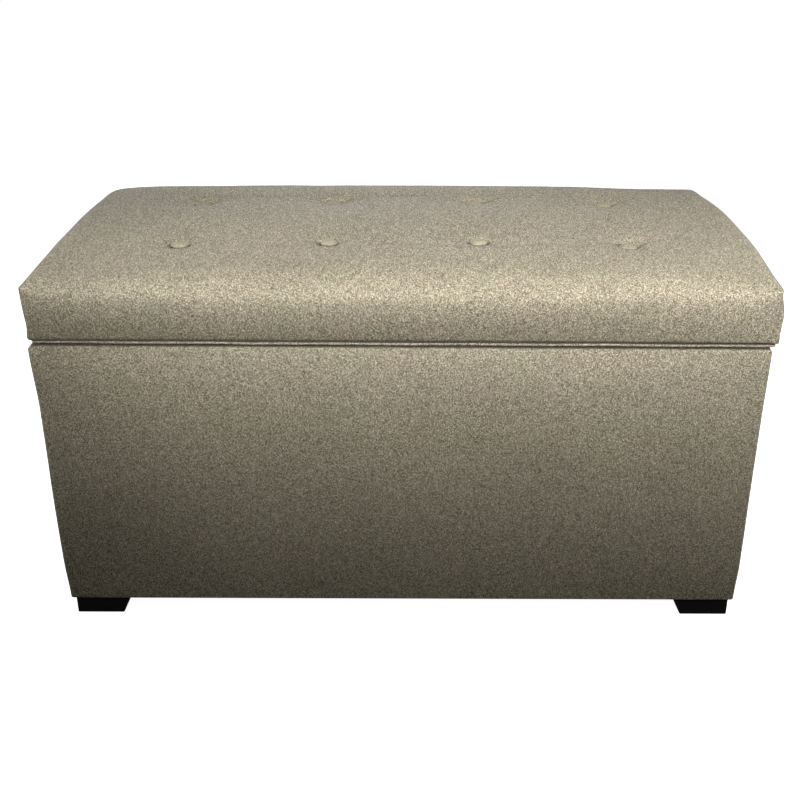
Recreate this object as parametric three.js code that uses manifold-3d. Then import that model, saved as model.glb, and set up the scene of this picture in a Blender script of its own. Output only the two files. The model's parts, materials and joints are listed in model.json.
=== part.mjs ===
// An upholstered storage bench: a fabric covered wooden box on four low feet, with a tufted lid cushion
// that tips up on a continuous hinge and is held open by two slotted stays.
// Millimetres, +Z up, +X to the right, +Y to the back. The origin is on the floor, under the middle.

import * as THREE from "three";
import { mergeVertices } from "three/addons/utils/BufferGeometryUtils.js";
import { ConvexGeometry } from "three/addons/geometries/ConvexGeometry.js";
import Module from "manifold-3d";

const wasm = await Module();
wasm.setup();

// ---------------------------------------------------------------- driving dimensions

const gap = 0.3; // clearance between neighbouring pieces
const clothThickness = 1.5;

// Overall
const lidWidth = 914;
const lidDepth = 457;
const lidOverhang = 3; // on each side of the body
const footHeight = 25.5;
const hingeAxisHeight = 401;
const lidEdgeTop = 491; // where the cushion's top meets its sides
const lidCrown = 9; // how much higher its middle is

// Wooden box
const boxWidth = 889;
const boxDepth = 432;
const panelThickness = 16;
const floorThickness = 12;
const postSize = 30;
const postTop = 360;
const boardThickness = 12.7;
const boardInset = 8; // from the cushion's sides

// Fabric, padding and lining
const coverCornerRadius = 10;
const coverBottomReturn = 25; // turned in under the box
const coverDropHeight = 24; // turned down inside the box
const dustCoverThickness = 1;
const dustCoverInset = 14;
const liningThickness = 1.2;
const lidLiningThickness = 1;
const cushionRadius = 16;
const lidCoverReturn = 30; // turned in under the lid
const pipingRadius = 2.5;
const pipingInset = 5.5; // from the lid's side to the piping's centre
const pipingLipWidth = 13;
const pipingCornerRadius = 12;

// Tufting
const buttonSpacing = 194;
const buttonRows = [-96, 106]; // the front row stands a little further in
const buttonColumns = 4;
const buttonRadius = 11.5;
const buttonDomeHeight = 5.5;
const dimpleFloorRadius = 13;
const dimpleRimRadius = 32;
const dimpleDepth = 6;
const twineRadius = 1.2;
const twineHoleRadius = 1.8;
const knotRadius = 3;
const knotHeight = 1.4;

// Feet
const footTopSize = 76;
const footBottomSize = 64;
const footSetback = 8; // from the body's faces
const footChamfer = 1.5;

// Continuous hinge
const hingeLength = 864;
const knuckleCount = 15;
const knuckleGap = 0.4;
const knuckleRadius = 3.2;
const hingeBoreRadius = 1.6;
const hingePinRadius = 1.4;
const leafThickness = 1.2;
const leafOffset = 1.7; // from the hinge axis to each leaf's inner face
const hingeSetback = 6.7; // from the body's back face to the hinge axis
const leafReach = 29.2; // from the hinge axis to each leaf's front edge

// Lid stays, each with the rivet and the stud equally far from the hinge axis
const stayRadius = 160;
const rivetAngle = THREE.MathUtils.degToRad(6); // below level, seen from the hinge axis
const studAngle = THREE.MathUtils.degToRad(26);
const lidOpenAngle = THREE.MathUtils.degToRad(95);
const armWidth = 16;
const armThickness = 2.5;
const armEnd = 12; // past the slot
const rivetRadius = 2.5;
const rivetHeadRadius = 5;
const studRadius = 3;
const studHeadRadius = 6;
const slotClearance = 0.4;
const earThickness = 2;
const earRadius = 9;
const bracketPlateWidth = 25;
const bracketPlateLength = 50;
const bracketPlateThickness = 1.5;
const armToLining = 4; // from the arm's outer face to the lining

// ---------------------------------------------------------------- places worked out from them

const lidHalfX = lidWidth / 2;
const lidHalfY = lidDepth / 2;
const bodyHalfX = lidHalfX - lidOverhang;
const bodyHalfY = lidHalfY - lidOverhang;
const boxHalfX = boxWidth / 2;
const boxHalfY = boxDepth / 2;
const insideHalfX = boxHalfX - panelThickness;
const insideHalfY = boxHalfY - panelThickness;

const dustCoverBottom = footHeight + gap;
const dustCoverTop = dustCoverBottom + dustCoverThickness;
const coverBottom = dustCoverTop + gap;
const woodBottom = coverBottom + clothThickness + gap;
const floorTop = woodBottom + floorThickness;
const coverTop = hingeAxisHeight - knuckleRadius;
const woodTop = coverTop - clothThickness - gap;
const coverDropBottom = coverTop - coverDropHeight;

const lidLiningBottom = hingeAxisHeight + leafOffset;
const lidLiningTop = lidLiningBottom + lidLiningThickness;
const lidCoverBottom = hingeAxisHeight + knuckleRadius;
const boardBottom = lidCoverBottom + clothThickness + gap;
const boardTop = boardBottom + boardThickness;
const foamBottom = boardTop + gap;

const hingeAxisY = bodyHalfY + hingeSetback;
const leafFrontY = hingeAxisY - leafReach;
const leafScrewY = boxHalfY - panelThickness / 2;
const knuckleFrontY = hingeAxisY - knuckleRadius;

const postCentreX = insideHalfX - gap - postSize / 2;
const postCentreY = insideHalfY - gap - postSize / 2;

const armOuterX = insideHalfX - gap - liningThickness - armToLining;
const armInnerX = armOuterX - armThickness;
const earOuterX = armInnerX - 0.7;
const earInnerX = earOuterX - earThickness;

// The whole is moved so that its overall depth, lid front to hinge back, is centred.
const centringShiftY = (lidHalfY - (hingeAxisY + knuckleRadius)) / 2;

// ---------------------------------------------------------------- materials

function finish(colour, roughness, metalness = 0) {
  return new THREE.MeshStandardMaterial({ color: colour, roughness, metalness });
}

const upholstery = finish(0x9c9280, 0.8);
const blackCloth = finish(0x1b1b1c, 0.95);
const liningCloth = finish(0x23211f, 0.9);
const wadding = finish(0xe8e6df, 1);
const foam = finish(0xe6ddb8, 1);
const plywood = finish(0xc9a878, 0.7);
const blackWood = finish(0x141212, 0.4);
const steel = finish(0xb4b4b2, 0.35, 1);
const twine = finish(0x8d8371, 0.85);

// ---------------------------------------------------------------- shapes

// A closed three.js geometry as a solid that can be joined and cut.
function solid(geometry) {
  const bare = geometry.clone();
  bare.deleteAttribute("normal");
  bare.deleteAttribute("uv");
  const merged = mergeVertices(bare, 1e-3);
  return new wasm.Manifold(
    new wasm.Mesh({
      numProp: 3,
      vertProperties: merged.getAttribute("position").array,
      triVerts: new Uint32Array(merged.index.array),
    }),
  );
}

function geometryOf(manifold) {
  const { vertProperties, triVerts } = manifold.getMesh();
  const geometry = new THREE.BufferGeometry();
  geometry.setAttribute("position", new THREE.BufferAttribute(vertProperties, 3));
  geometry.setIndex(new THREE.BufferAttribute(triVerts, 1));
  geometry.computeVertexNormals();
  return geometry;
}

function block([x0, x1], [y0, y1], [z0, z1]) {
  const geometry = new THREE.BoxGeometry(x1 - x0, y1 - y0, z1 - z0);
  geometry.translate((x0 + x1) / 2, (y0 + y1) / 2, (z0 + z1) / 2);
  return solid(geometry);
}

// An upright prism of a flat shape.
function prism(shape, [z0, z1], curveSegments = 4) {
  const settings = { depth: z1 - z0, bevelEnabled: false, curveSegments };
  const geometry = new THREE.ExtrudeGeometry(shape, settings);
  geometry.translate(0, 0, z0);
  return solid(geometry);
}

// A profile of [radius, height] pairs turned about the Z axis, from the bottom up.
function turned(profile, segments = 8) {
  const points = profile.map(([radius, height]) => new THREE.Vector2(radius, height));
  const geometry = new THREE.LatheGeometry(points, segments);
  geometry.rotateX(Math.PI / 2);
  return geometry;
}

function rod(radius, [z0, z1], segments = 8) {
  return solid(turned([[0, z0], [radius, z0], [radius, z1], [0, z1]], segments));
}

function rodAt(x, y, radius, span, segments = 8) {
  return rod(radius, span, segments).translate([x, y, 0]);
}

function rectangle(halfX, halfY) {
  return new THREE.Shape([
    new THREE.Vector2(-halfX, -halfY),
    new THREE.Vector2(halfX, -halfY),
    new THREE.Vector2(halfX, halfY),
    new THREE.Vector2(-halfX, halfY),
  ]);
}

function roundedRectangle(halfX, halfY, radius) {
  const shape = new THREE.Shape();
  shape.absarc(halfX - radius, halfY - radius, radius, 0, Math.PI / 2);
  shape.absarc(-halfX + radius, halfY - radius, radius, Math.PI / 2, Math.PI);
  shape.absarc(-halfX + radius, -halfY + radius, radius, Math.PI, 1.5 * Math.PI);
  shape.absarc(halfX - radius, -halfY + radius, radius, 1.5 * Math.PI, 2 * Math.PI);
  shape.closePath();
  return shape;
}

// The plan of the storage space below the posts' tops: the rectangle inside the panels with a square
// notch at each post, drawn inside the wood by the given inset.
function notchedOutline(inset) {
  const x = insideHalfX - inset;
  const y = insideHalfY - inset;
  const postX = postCentreX - postSize / 2 - inset;
  const postY = postCentreY - postSize / 2 - inset;
  const quarter = [[x, postY], [postX, postY], [postX, y]];
  const points = [];
  for (const [signX, signY] of [[1, 1], [-1, 1], [-1, -1], [1, -1]]) {
    const turns = quarter.map(([u, v]) => new THREE.Vector2(signX * u, signY * v));
    points.push(...(signX * signY > 0 ? turns : turns.reverse()));
  }
  return new THREE.Shape(points);
}

// Height of the cushion's surface above its edge, before any rounding.
function crownAt(x, y) {
  return lidCrown * (1 - (x / lidHalfX) ** 2) * (1 - (y / lidHalfY) ** 2);
}

// The cushion's outer form, drawn inside its surface by the given inset: flat below, crowned above,
// with its top edges and upright corners rounded.
function cushionForm(inset, bottom) {
  const arcSteps = 2;
  const crownStepsX = 8;
  const crownStepsY = 4;
  const radius = cushionRadius - inset;
  const halfX = lidHalfX - inset;
  const halfY = lidHalfY - inset;
  const top = lidEdgeTop - inset;
  const stepsX = crownStepsX + 2 * arcSteps;
  const stepsY = crownStepsY + 2 * arcSteps;
  const stepsZ = 1 + arcSteps;
  const geometry = new THREE.BoxGeometry(1, 1, 1, stepsX, stepsY, stepsZ);

  // Grid lines gather in the rounded bands at both ends and are even between them.
  function spread(fraction, steps, half) {
    const index = Math.round((fraction + 0.5) * steps);
    const fromEnd = Math.min(index, steps - index);
    const side = index < steps / 2 ? -1 : 1;
    if (fromEnd <= arcSteps) {
      return side * (half - (radius * fromEnd) / arcSteps);
    }
    return ((2 * (index - arcSteps)) / (steps - 2 * arcSteps) - 1) * (half - radius);
  }

  function rise(fraction) {
    const index = Math.round((fraction + 0.5) * stepsZ);
    return index === 0 ? bottom : top - radius + (radius * (index - 1)) / arcSteps;
  }

  const corner = new THREE.Vector3();
  const core = new THREE.Vector3();
  const positions = geometry.getAttribute("position");
  for (let i = 0; i < positions.count; i += 1) {
    corner.set(
      spread(positions.getX(i), stepsX, halfX),
      spread(positions.getY(i), stepsY, halfY),
      rise(positions.getZ(i)),
    );
    core.set(
      THREE.MathUtils.clamp(corner.x, radius - halfX, halfX - radius),
      THREE.MathUtils.clamp(corner.y, radius - halfY, halfY - radius),
      Math.min(corner.z, top - radius),
    );
    const outward = corner.clone().sub(core);
    if (outward.length() > 0) {
      outward.setLength(radius);
    }
    corner.copy(core).add(outward);
    const crownShare = THREE.MathUtils.clamp((corner.z - (top - radius)) / radius, 0, 1);
    corner.z += crownShare * crownAt(corner.x, corner.y);
    positions.setXYZ(i, corner.x, corner.y, corner.z);
  }
  return solid(geometry);
}

const buttonPlaces = [];
for (const y of buttonRows) {
  for (let column = 0; column < buttonColumns; column += 1) {
    const x = (column - (buttonColumns - 1) / 2) * buttonSpacing;
    const dimpleFloor = lidEdgeTop + crownAt(x, y) - dimpleDepth;
    buttonPlaces.push({ x, y, dimpleFloor });
  }
}

// Cuts the tufting dimples, lowered by the given amount, and the twine holes under them.
function cutTufting(form, lowered) {
  const wallSlope = (dimpleRimRadius - dimpleFloorRadius) / dimpleDepth;
  const cutHeight = dimpleDepth + 2 * lowered + 2;
  let result = form;
  for (const { x, y, dimpleFloor } of buttonPlaces) {
    const floor = dimpleFloor - lowered;
    const rim = dimpleFloorRadius + wallSlope * cutHeight;
    const dish = [[0, floor], [dimpleFloorRadius, floor], [rim, floor + cutHeight], [0, floor + cutHeight]];
    result = result.subtract(solid(turned(dish, 10)).translate([x, y, 0]));
    result = result.subtract(rodAt(x, y, twineHoleRadius, [boardBottom - 1, floor + 1]));
  }
  return result;
}

// ---------------------------------------------------------------- the assembly

const bench = new THREE.Group();
const assembly = new THREE.Group();
assembly.position.y = centringShiftY;
bench.add(assembly);

function addMesh(name, geometry, material, parent = assembly) {
  const mesh = new THREE.Mesh(geometry, material);
  mesh.name = name;
  parent.add(mesh);
  return mesh;
}

function addSolid(name, manifold, material, parent = assembly) {
  return addMesh(name, geometryOf(manifold), material, parent);
}

const corners = [
  ["front_left", -1, -1],
  ["front_right", 1, -1],
  ["back_left", -1, 1],
  ["back_right", 1, 1],
];

// A pan head wood screw with its head's underside at the origin and its point up.
function screwGeometry(headRadius, headHeight, shankRadius, length) {
  const pointLength = 2.5 * shankRadius;
  return turned([
    [0, -headHeight],
    [0.7 * headRadius, -headHeight],
    [headRadius, -0.5 * headHeight],
    [headRadius, 0],
    [shankRadius, 0],
    [shankRadius, length - pointLength],
    [0, length],
  ]);
}

// -------- wooden box

const footScrew = { headRadius: 7, headHeight: 4, shankRadius: 2.8, length: 62, recess: 12 };
const hingeScrew = { headRadius: 3.2, headHeight: 1.2, shankRadius: 1.5, length: 12 };
const bracketScrew = { headRadius: 3.5, headHeight: 1.6, shankRadius: 1.8, length: 14 };
const bodyLeafScrewX = [-390, -150, 150, 390];
const lidLeafScrewX = [-365, -125, 125, 365];

function makeFrontAndBackPanels() {
  for (const [name, side] of [["front_panel", -1], ["back_panel", 1]]) {
    const reach = [side * boxHalfY, side * insideHalfY].sort((a, b) => a - b);
    let panel = block([-boxHalfX, boxHalfX], reach, [woodBottom, woodTop]);
    if (side > 0) {
      for (const x of bodyLeafScrewX) {
        const hole = [woodTop - hingeScrew.length - 2, woodTop + 1];
        panel = panel.subtract(rodAt(x, leafScrewY, hingeScrew.shankRadius + gap, hole));
      }
    }
    addSolid(name, panel, plywood);
  }
}

function makeSidePanels() {
  const reachY = insideHalfY - gap;
  for (const [name, side] of [["left_side_panel", -1], ["right_side_panel", 1]]) {
    const reachX = [side * boxHalfX, side * insideHalfX].sort((a, b) => a - b);
    const panel = block(reachX, [-reachY, reachY], [woodBottom, woodTop]);
    addSolid(name, panel.subtract(studHole(side)), plywood);
  }
}

function makeFloorPanel() {
  const halfX = insideHalfX - gap;
  const halfY = insideHalfY - gap;
  let panel = block([-halfX, halfX], [-halfY, halfY], [woodBottom, floorTop]);
  for (const [, sideX, sideY] of corners) {
    const hole = [woodBottom - 1, floorTop + 1];
    const radius = footScrew.shankRadius + gap;
    panel = panel.subtract(rodAt(sideX * postCentreX, sideY * postCentreY, radius, hole));
  }
  addSolid("floor_panel", panel, plywood);
}

function makePosts() {
  const bottom = floorTop + gap;
  const half = postSize / 2;
  const screwEnd = footScrew.recess + footScrew.length;
  const post = block([-half, half], [-half, half], [bottom, postTop]);
  const drilled = post.subtract(rod(footScrew.shankRadius + gap, [bottom - 1, screwEnd + 1]));
  for (const [place, sideX, sideY] of corners) {
    const mesh = addSolid(`${place}_post`, drilled, plywood);
    mesh.position.set(sideX * postCentreX, sideY * postCentreY, 0);
  }
}

// -------- feet

// A foot for the right back corner: upright outer faces, slanted inner faces, a fine chamfer below.
function footSolid() {
  const outerX = bodyHalfX - footSetback;
  const outerY = bodyHalfY - footSetback;
  const levels = [
    { height: 0, size: footBottomSize - footChamfer, outerInset: footChamfer },
    { height: footChamfer, size: footBottomSize, outerInset: 0 },
    { height: footHeight, size: footTopSize, outerInset: 0 },
  ];
  const points = [];
  for (const { height, size, outerInset } of levels) {
    for (const x of [outerX - size, outerX - outerInset]) {
      for (const y of [outerY - size, outerY - outerInset]) {
        points.push(new THREE.Vector3(x, y, height));
      }
    }
  }
  const recess = rodAt(postCentreX, postCentreY, footScrew.headRadius + 1, [-1, footScrew.recess], 16);
  const hole = rodAt(postCentreX, postCentreY, footScrew.shankRadius + gap, [-1, footHeight + 1]);
  return solid(new ConvexGeometry(points)).subtract(recess).subtract(hole);
}

function makeFeet() {
  const foot = footSolid();
  const screw = screwGeometry(
    footScrew.headRadius,
    footScrew.headHeight,
    footScrew.shankRadius,
    footScrew.length,
  );
  for (const [place, sideX, sideY] of corners) {
    addSolid(`${place}_foot`, foot, blackWood).scale.set(sideX, sideY, 1);
    const screwMesh = addMesh(`${place}_foot_screw`, screw, steel);
    screwMesh.position.set(sideX * postCentreX, sideY * postCentreY, footScrew.recess - gap);
  }
}

// -------- body upholstery

function makePaddings() {
  const innerX = boxHalfX + gap;
  const outerX = bodyHalfX - clothThickness - gap;
  const innerY = boxHalfY + gap;
  const outerY = bodyHalfY - clothThickness - gap;
  const endX = boxHalfX - gap;
  const endY = boxHalfY - gap;
  const height = [woodBottom, woodTop];
  addSolid("front_padding", block([-endX, endX], [-outerY, -innerY], height), wadding);
  addSolid("back_padding", block([-endX, endX], [innerY, outerY], height), wadding);
  addSolid("left_padding", block([-outerX, -innerX], [-endY, endY], height), wadding);
  addSolid("right_padding", block([innerX, outerX], [-endY, endY], height), wadding);
}

// The body's cover: four walls in one, turned in under the box and down inside its top.
function makeBodyCover() {
  const innerHalfX = bodyHalfX - clothThickness;
  const innerHalfY = bodyHalfY - clothThickness;
  const outside = roundedRectangle(bodyHalfX, bodyHalfY, coverCornerRadius);
  const inside = roundedRectangle(innerHalfX, innerHalfY, coverCornerRadius - clothThickness);
  const underOpening = rectangle(bodyHalfX - coverBottomReturn, bodyHalfY - coverBottomReturn);
  const dropOutside = rectangle(insideHalfX - gap, insideHalfY - gap);
  const dropInside = rectangle(insideHalfX - gap - clothThickness, insideHalfY - gap - clothThickness);
  const underTop = coverTop - clothThickness;
  let cover = prism(outside, [coverBottom, coverTop]);
  cover = cover.subtract(prism(inside, [coverBottom + clothThickness, underTop]));
  cover = cover.subtract(prism(underOpening, [coverBottom - 1, coverBottom + clothThickness + 1]));
  cover = cover.add(prism(dropOutside, [coverDropBottom, coverTop]));
  cover = cover.subtract(prism(dropInside, [coverDropBottom - 1, coverTop + 1]));
  for (const x of bodyLeafScrewX) {
    const hole = rodAt(x, leafScrewY, hingeScrew.shankRadius + gap, [underTop - 1, coverTop + 1]);
    cover = cover.subtract(hole);
  }
  addSolid("body_cover", cover, upholstery);
}

// The storage space's lining: a floor and four walls in one, boxed round the posts and over their tops.
function makeStorageLining() {
  const bottom = floorTop + gap;
  const top = coverDropBottom - gap;
  const shelf = postTop + gap;
  const inset = gap + liningThickness;
  const lowerOutside = prism(notchedOutline(gap), [bottom, shelf + liningThickness]);
  const upperOutside = prism(rectangle(insideHalfX - gap, insideHalfY - gap), [shelf, top]);
  const lowerInside = prism(notchedOutline(inset), [bottom + liningThickness, top + 1]);
  const upperInside = prism(
    rectangle(insideHalfX - inset, insideHalfY - inset),
    [shelf + liningThickness, top + 1],
  );
  let lining = lowerOutside.add(upperOutside).subtract(lowerInside).subtract(upperInside);
  for (const side of [-1, 1]) {
    lining = lining.subtract(studHole(side));
  }
  addSolid("storage_lining", lining, liningCloth);
}

function makeDustCover() {
  const halfX = bodyHalfX - dustCoverInset;
  const halfY = bodyHalfY - dustCoverInset;
  let sheet = block([-halfX, halfX], [-halfY, halfY], [dustCoverBottom, dustCoverTop]);
  for (const [, sideX, sideY] of corners) {
    const hole = [dustCoverBottom - 1, dustCoverTop + 1];
    const radius = footScrew.shankRadius + gap;
    sheet = sheet.subtract(rodAt(sideX * postCentreX, sideY * postCentreY, radius, hole));
  }
  addSolid("base_dust_cover", sheet, blackCloth);
}

// -------- lid

function cutLidScrewHoles(form, [z0, z1]) {
  let result = form;
  for (const x of lidLeafScrewX) {
    result = result.subtract(rodAt(x, leafScrewY, hingeScrew.shankRadius + gap, [z0, z1]));
  }
  return result;
}

function cutBracketScrewHoles(form, [z0, z1]) {
  let result = form;
  for (const side of [-1, 1]) {
    for (const [x, y] of bracketScrewPlaces) {
      const radius = bracketScrew.shankRadius + gap;
      result = result.subtract(rodAt(side * x, y, radius, [z0, z1]));
    }
  }
  return result;
}

function makeLidBoard() {
  const halfX = lidHalfX - boardInset;
  const halfY = lidHalfY - boardInset;
  const outline = roundedRectangle(halfX, halfY, cushionRadius - boardInset);
  let board = prism(outline, [boardBottom, boardTop]);
  const hingeScrewTip = hingeAxisHeight + leafOffset - gap + hingeScrew.length;
  const bracketScrewTip = bracketPlateBottom - gap + bracketScrew.length;
  board = cutLidScrewHoles(board, [boardBottom - 1, hingeScrewTip + 1]);
  board = cutBracketScrewHoles(board, [boardBottom - 1, bracketScrewTip + 1]);
  for (const { x, y } of buttonPlaces) {
    board = board.subtract(rodAt(x, y, twineHoleRadius, [boardBottom - 1, boardTop + 1]));
  }
  addSolid("lid_board", board, plywood);
}

function makeSeatFoam() {
  const form = cushionForm(clothThickness + gap, foamBottom);
  const lowered = 2 * clothThickness;
  addSolid("seat_foam", cutTufting(form, lowered), foam);
}

// The lid's cover: sides and crowned top in one, turned in under the board.
function makeLidCover() {
  const outer = cutTufting(cushionForm(0, lidCoverBottom), 0);
  const inner = cutTufting(cushionForm(clothThickness, lidCoverBottom + clothThickness), 1.6);
  const opening = rectangle(lidHalfX - lidCoverReturn, lidHalfY - lidCoverReturn);
  const returnSpan = [lidCoverBottom - 1, lidCoverBottom + clothThickness + 1];
  const shell = outer.subtract(inner).subtract(prism(opening, returnSpan));
  addSolid("lid_cover", cutLidScrewHoles(shell, returnSpan), upholstery);
}

// The piping's centre line: forward along the left side, across the front, back along the right side.
// Its parameter runs evenly over five stretches: three straight ones and the two corners between.
class PipingPath extends THREE.Curve {
  constructor(halfX, frontY, backY, radius) {
    super();
    this.halfX = halfX;
    this.frontY = frontY;
    this.backY = backY;
    this.radius = radius;
  }

  // The left half, from the back end (0) to the middle of the front (1), as a point and a heading.
  leftHalf(share) {
    const stretches = 2.5;
    const along = share * stretches;
    const cornerX = -this.halfX + this.radius;
    const cornerY = this.frontY + this.radius;
    if (along <= 1) {
      const y = THREE.MathUtils.lerp(this.backY, cornerY, along);
      return { x: -this.halfX, y, heading: -Math.PI / 2 };
    }
    if (along <= 2) {
      const turn = ((along - 1) * Math.PI) / 2;
      const x = cornerX - this.radius * Math.cos(turn);
      const y = cornerY - this.radius * Math.sin(turn);
      return { x, y, heading: turn - Math.PI / 2 };
    }
    return { x: THREE.MathUtils.lerp(cornerX, 0, (along - 2) * 2), y: this.frontY, heading: 0 };
  }

  getPoint(t) {
    const half = this.leftHalf(t <= 0.5 ? 2 * t : 2 - 2 * t);
    return new THREE.Vector3(t <= 0.5 ? half.x : -half.x, half.y, 0);
  }

  getTangent(t) {
    const { heading } = this.leftHalf(t <= 0.5 ? 2 * t : 2 - 2 * t);
    const climb = t <= 0.5 ? Math.sin(heading) : -Math.sin(heading);
    return new THREE.Vector3(Math.cos(heading), climb, 0);
  }

  getPointAt(u) {
    return this.getPoint(u);
  }

  getTangentAt(u) {
    return this.getTangent(u);
  }
}

function makePiping() {
  const stretches = 5;
  const stepsPerStretch = 3;
  const halfX = lidHalfX - pipingInset;
  const frontY = -lidHalfY + pipingInset;
  const backY = bodyHalfY - gap;
  const path = new PipingPath(halfX, frontY, backY, pipingCornerRadius);
  const section = new THREE.Shape();
  section.absarc(0, 0, pipingRadius, 0, 2 * Math.PI);
  const welt = solid(
    new THREE.ExtrudeGeometry(section, {
      steps: stretches * stepsPerStretch,
      extrudePath: path,
      curveSegments: 4,
    }),
  ).translate([0, 0, hingeAxisHeight]);

  // The seam allowance: a flat lip from the cord inwards, under the board.
  const lipSpan = [lidLiningBottom, lidLiningTop];
  const depth = backY - frontY;
  const outline = roundedRectangle(halfX, depth, pipingCornerRadius);
  const opening = rectangle(halfX - pipingLipWidth, depth - pipingLipWidth);
  const ring = prism(outline, lipSpan).subtract(prism(opening, [lipSpan[0] - 1, lipSpan[1] + 1]));
  const frontHalf = block([-lidWidth, lidWidth], [-2 * depth, 0], [0, lidEdgeTop]);
  const lip = ring.intersect(frontHalf).translate([0, backY, 0]);
  addSolid("lid_piping", welt.add(lip), upholstery);
}

function makeLidLining() {
  const halfX = lidHalfX - pipingInset - pipingLipWidth - gap;
  const frontY = -lidHalfY + pipingInset + pipingLipWidth + gap;
  const span = [lidLiningBottom, lidLiningTop];
  const lining = block([-halfX, halfX], [frontY, leafFrontY - gap], span);
  const holes = [lidLiningBottom - 1, lidLiningTop + 1];
  addSolid("lid_lining", cutBracketScrewHoles(lining, holes), liningCloth);
}

// A covered button: a dome on a shank of twine, which ends in a knot under the board.
function buttonGeometry(dimpleFloor) {
  const domeSteps = 3;
  const rimHeight = 1;
  const seat = dimpleFloor + gap;
  const knotTop = boardBottom - gap;
  const profile = [
    [0, knotTop - knotHeight],
    [knotRadius, knotTop - knotHeight],
    [knotRadius, knotTop],
    [twineRadius, knotTop],
    [twineRadius, seat],
    [buttonRadius, seat],
    [buttonRadius, seat + rimHeight],
  ];
  for (let step = 1; step <= domeSteps; step += 1) {
    const angle = (step / domeSteps) * (Math.PI / 2);
    const height = seat + rimHeight + (buttonDomeHeight - rimHeight) * Math.sin(angle);
    profile.push([step < domeSteps ? buttonRadius * Math.cos(angle) : 0, height]);
  }
  return turned(profile, 12);
}

function makeButtons() {
  buttonPlaces.forEach(({ x, y, dimpleFloor }, index) => {
    const mesh = addMesh(`tufting_button_${index + 1}`, buttonGeometry(dimpleFloor), twine);
    mesh.position.set(x, y, 0);
  });
}

// -------- continuous hinge

// One leaf: a flat strip below (-1) or above (1) the axis, with every other knuckle.
function hingeLeaf(side, firstKnuckle, screwPlaces) {
  const flat = [side * leafOffset, side * (leafOffset + leafThickness)].sort((a, b) => a - b);
  const pitch = hingeLength / knuckleCount;
  const halfLength = hingeLength / 2 - knuckleGap / 2;
  let leaf = block([-halfLength, halfLength], [leafFrontY, knuckleFrontY - gap], flat);
  for (let index = firstKnuckle; index < knuckleCount; index += 2) {
    const start = -hingeLength / 2 + index * pitch + knuckleGap / 2;
    const end = start + pitch - knuckleGap;
    const knuckle = rod(knuckleRadius, [start, end], 10).rotate([0, 90, 0]);
    leaf = leaf.add(knuckle.translate([0, hingeAxisY, 0]));
    leaf = leaf.add(block([start, end], [knuckleFrontY - 1, hingeAxisY], flat));
  }
  const bore = rod(hingeBoreRadius, [-hingeLength, hingeLength], 10).rotate([0, 90, 0]);
  leaf = leaf.subtract(bore.translate([0, hingeAxisY, 0]));
  for (const x of screwPlaces) {
    const hole = [flat[0] - 1, flat[1] + 1];
    leaf = leaf.subtract(rodAt(x, leafScrewY, hingeScrew.shankRadius + gap, hole));
  }
  return leaf;
}

function makeHinge() {
  const hinge = new THREE.Group();
  hinge.position.z = hingeAxisHeight;
  assembly.add(hinge);
  addSolid("hinge_body_leaf", hingeLeaf(-1, 0, bodyLeafScrewX), steel, hinge);
  addSolid("hinge_lid_leaf", hingeLeaf(1, 1, lidLeafScrewX), steel, hinge);
  const pin = new THREE.CylinderGeometry(hingePinRadius, hingePinRadius, hingeLength, 10);
  const pinMesh = addMesh("hinge_pin", pin, steel, hinge);
  pinMesh.rotation.z = Math.PI / 2;
  pinMesh.position.y = hingeAxisY;

  const screw = screwGeometry(
    hingeScrew.headRadius,
    hingeScrew.headHeight,
    hingeScrew.shankRadius,
    hingeScrew.length,
  );
  bodyLeafScrewX.forEach((x, index) => {
    const mesh = addMesh(`hinge_body_screw_${index + 1}`, screw, steel, hinge);
    mesh.rotation.x = Math.PI;
    mesh.position.set(x, leafScrewY, -leafOffset + gap);
  });
  lidLeafScrewX.forEach((x, index) => {
    const mesh = addMesh(`hinge_lid_screw_${index + 1}`, screw, steel, hinge);
    mesh.position.set(x, leafScrewY, leafOffset - gap);
  });
}

// -------- lid stays

function belowHinge(angle) {
  const y = hingeAxisY - stayRadius * Math.cos(angle);
  const z = hingeAxisHeight - stayRadius * Math.sin(angle);
  return new THREE.Vector3(0, y, z);
}

const rivetPoint = belowHinge(rivetAngle);
const studPoint = belowHinge(studAngle);
const closedDistance = rivetPoint.distanceTo(studPoint);
const openDistance = 2 * stayRadius * Math.sin((studAngle - rivetAngle + lidOpenAngle) / 2);
const bracketPlateTop = lidLiningBottom - gap;
const bracketPlateBottom = bracketPlateTop - bracketPlateThickness;
const bracketScrewX = earInnerX - bracketPlateWidth / 2;
const bracketScrewPlaces = [-1, 1].map((end) => [
  bracketScrewX,
  rivetPoint.y + end * 0.32 * bracketPlateLength,
]);

// The hole for a stay's stud through lining and side panel.
function studHole(side) {
  const span = [insideHalfX - liningThickness - 1, boxHalfX - 1.5];
  const hole = rod(studRadius + gap, span).rotate([0, 90, 0]);
  return hole.translate([0, studPoint.y, studPoint.z]).scale([side, 1, 1]);
}

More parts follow.
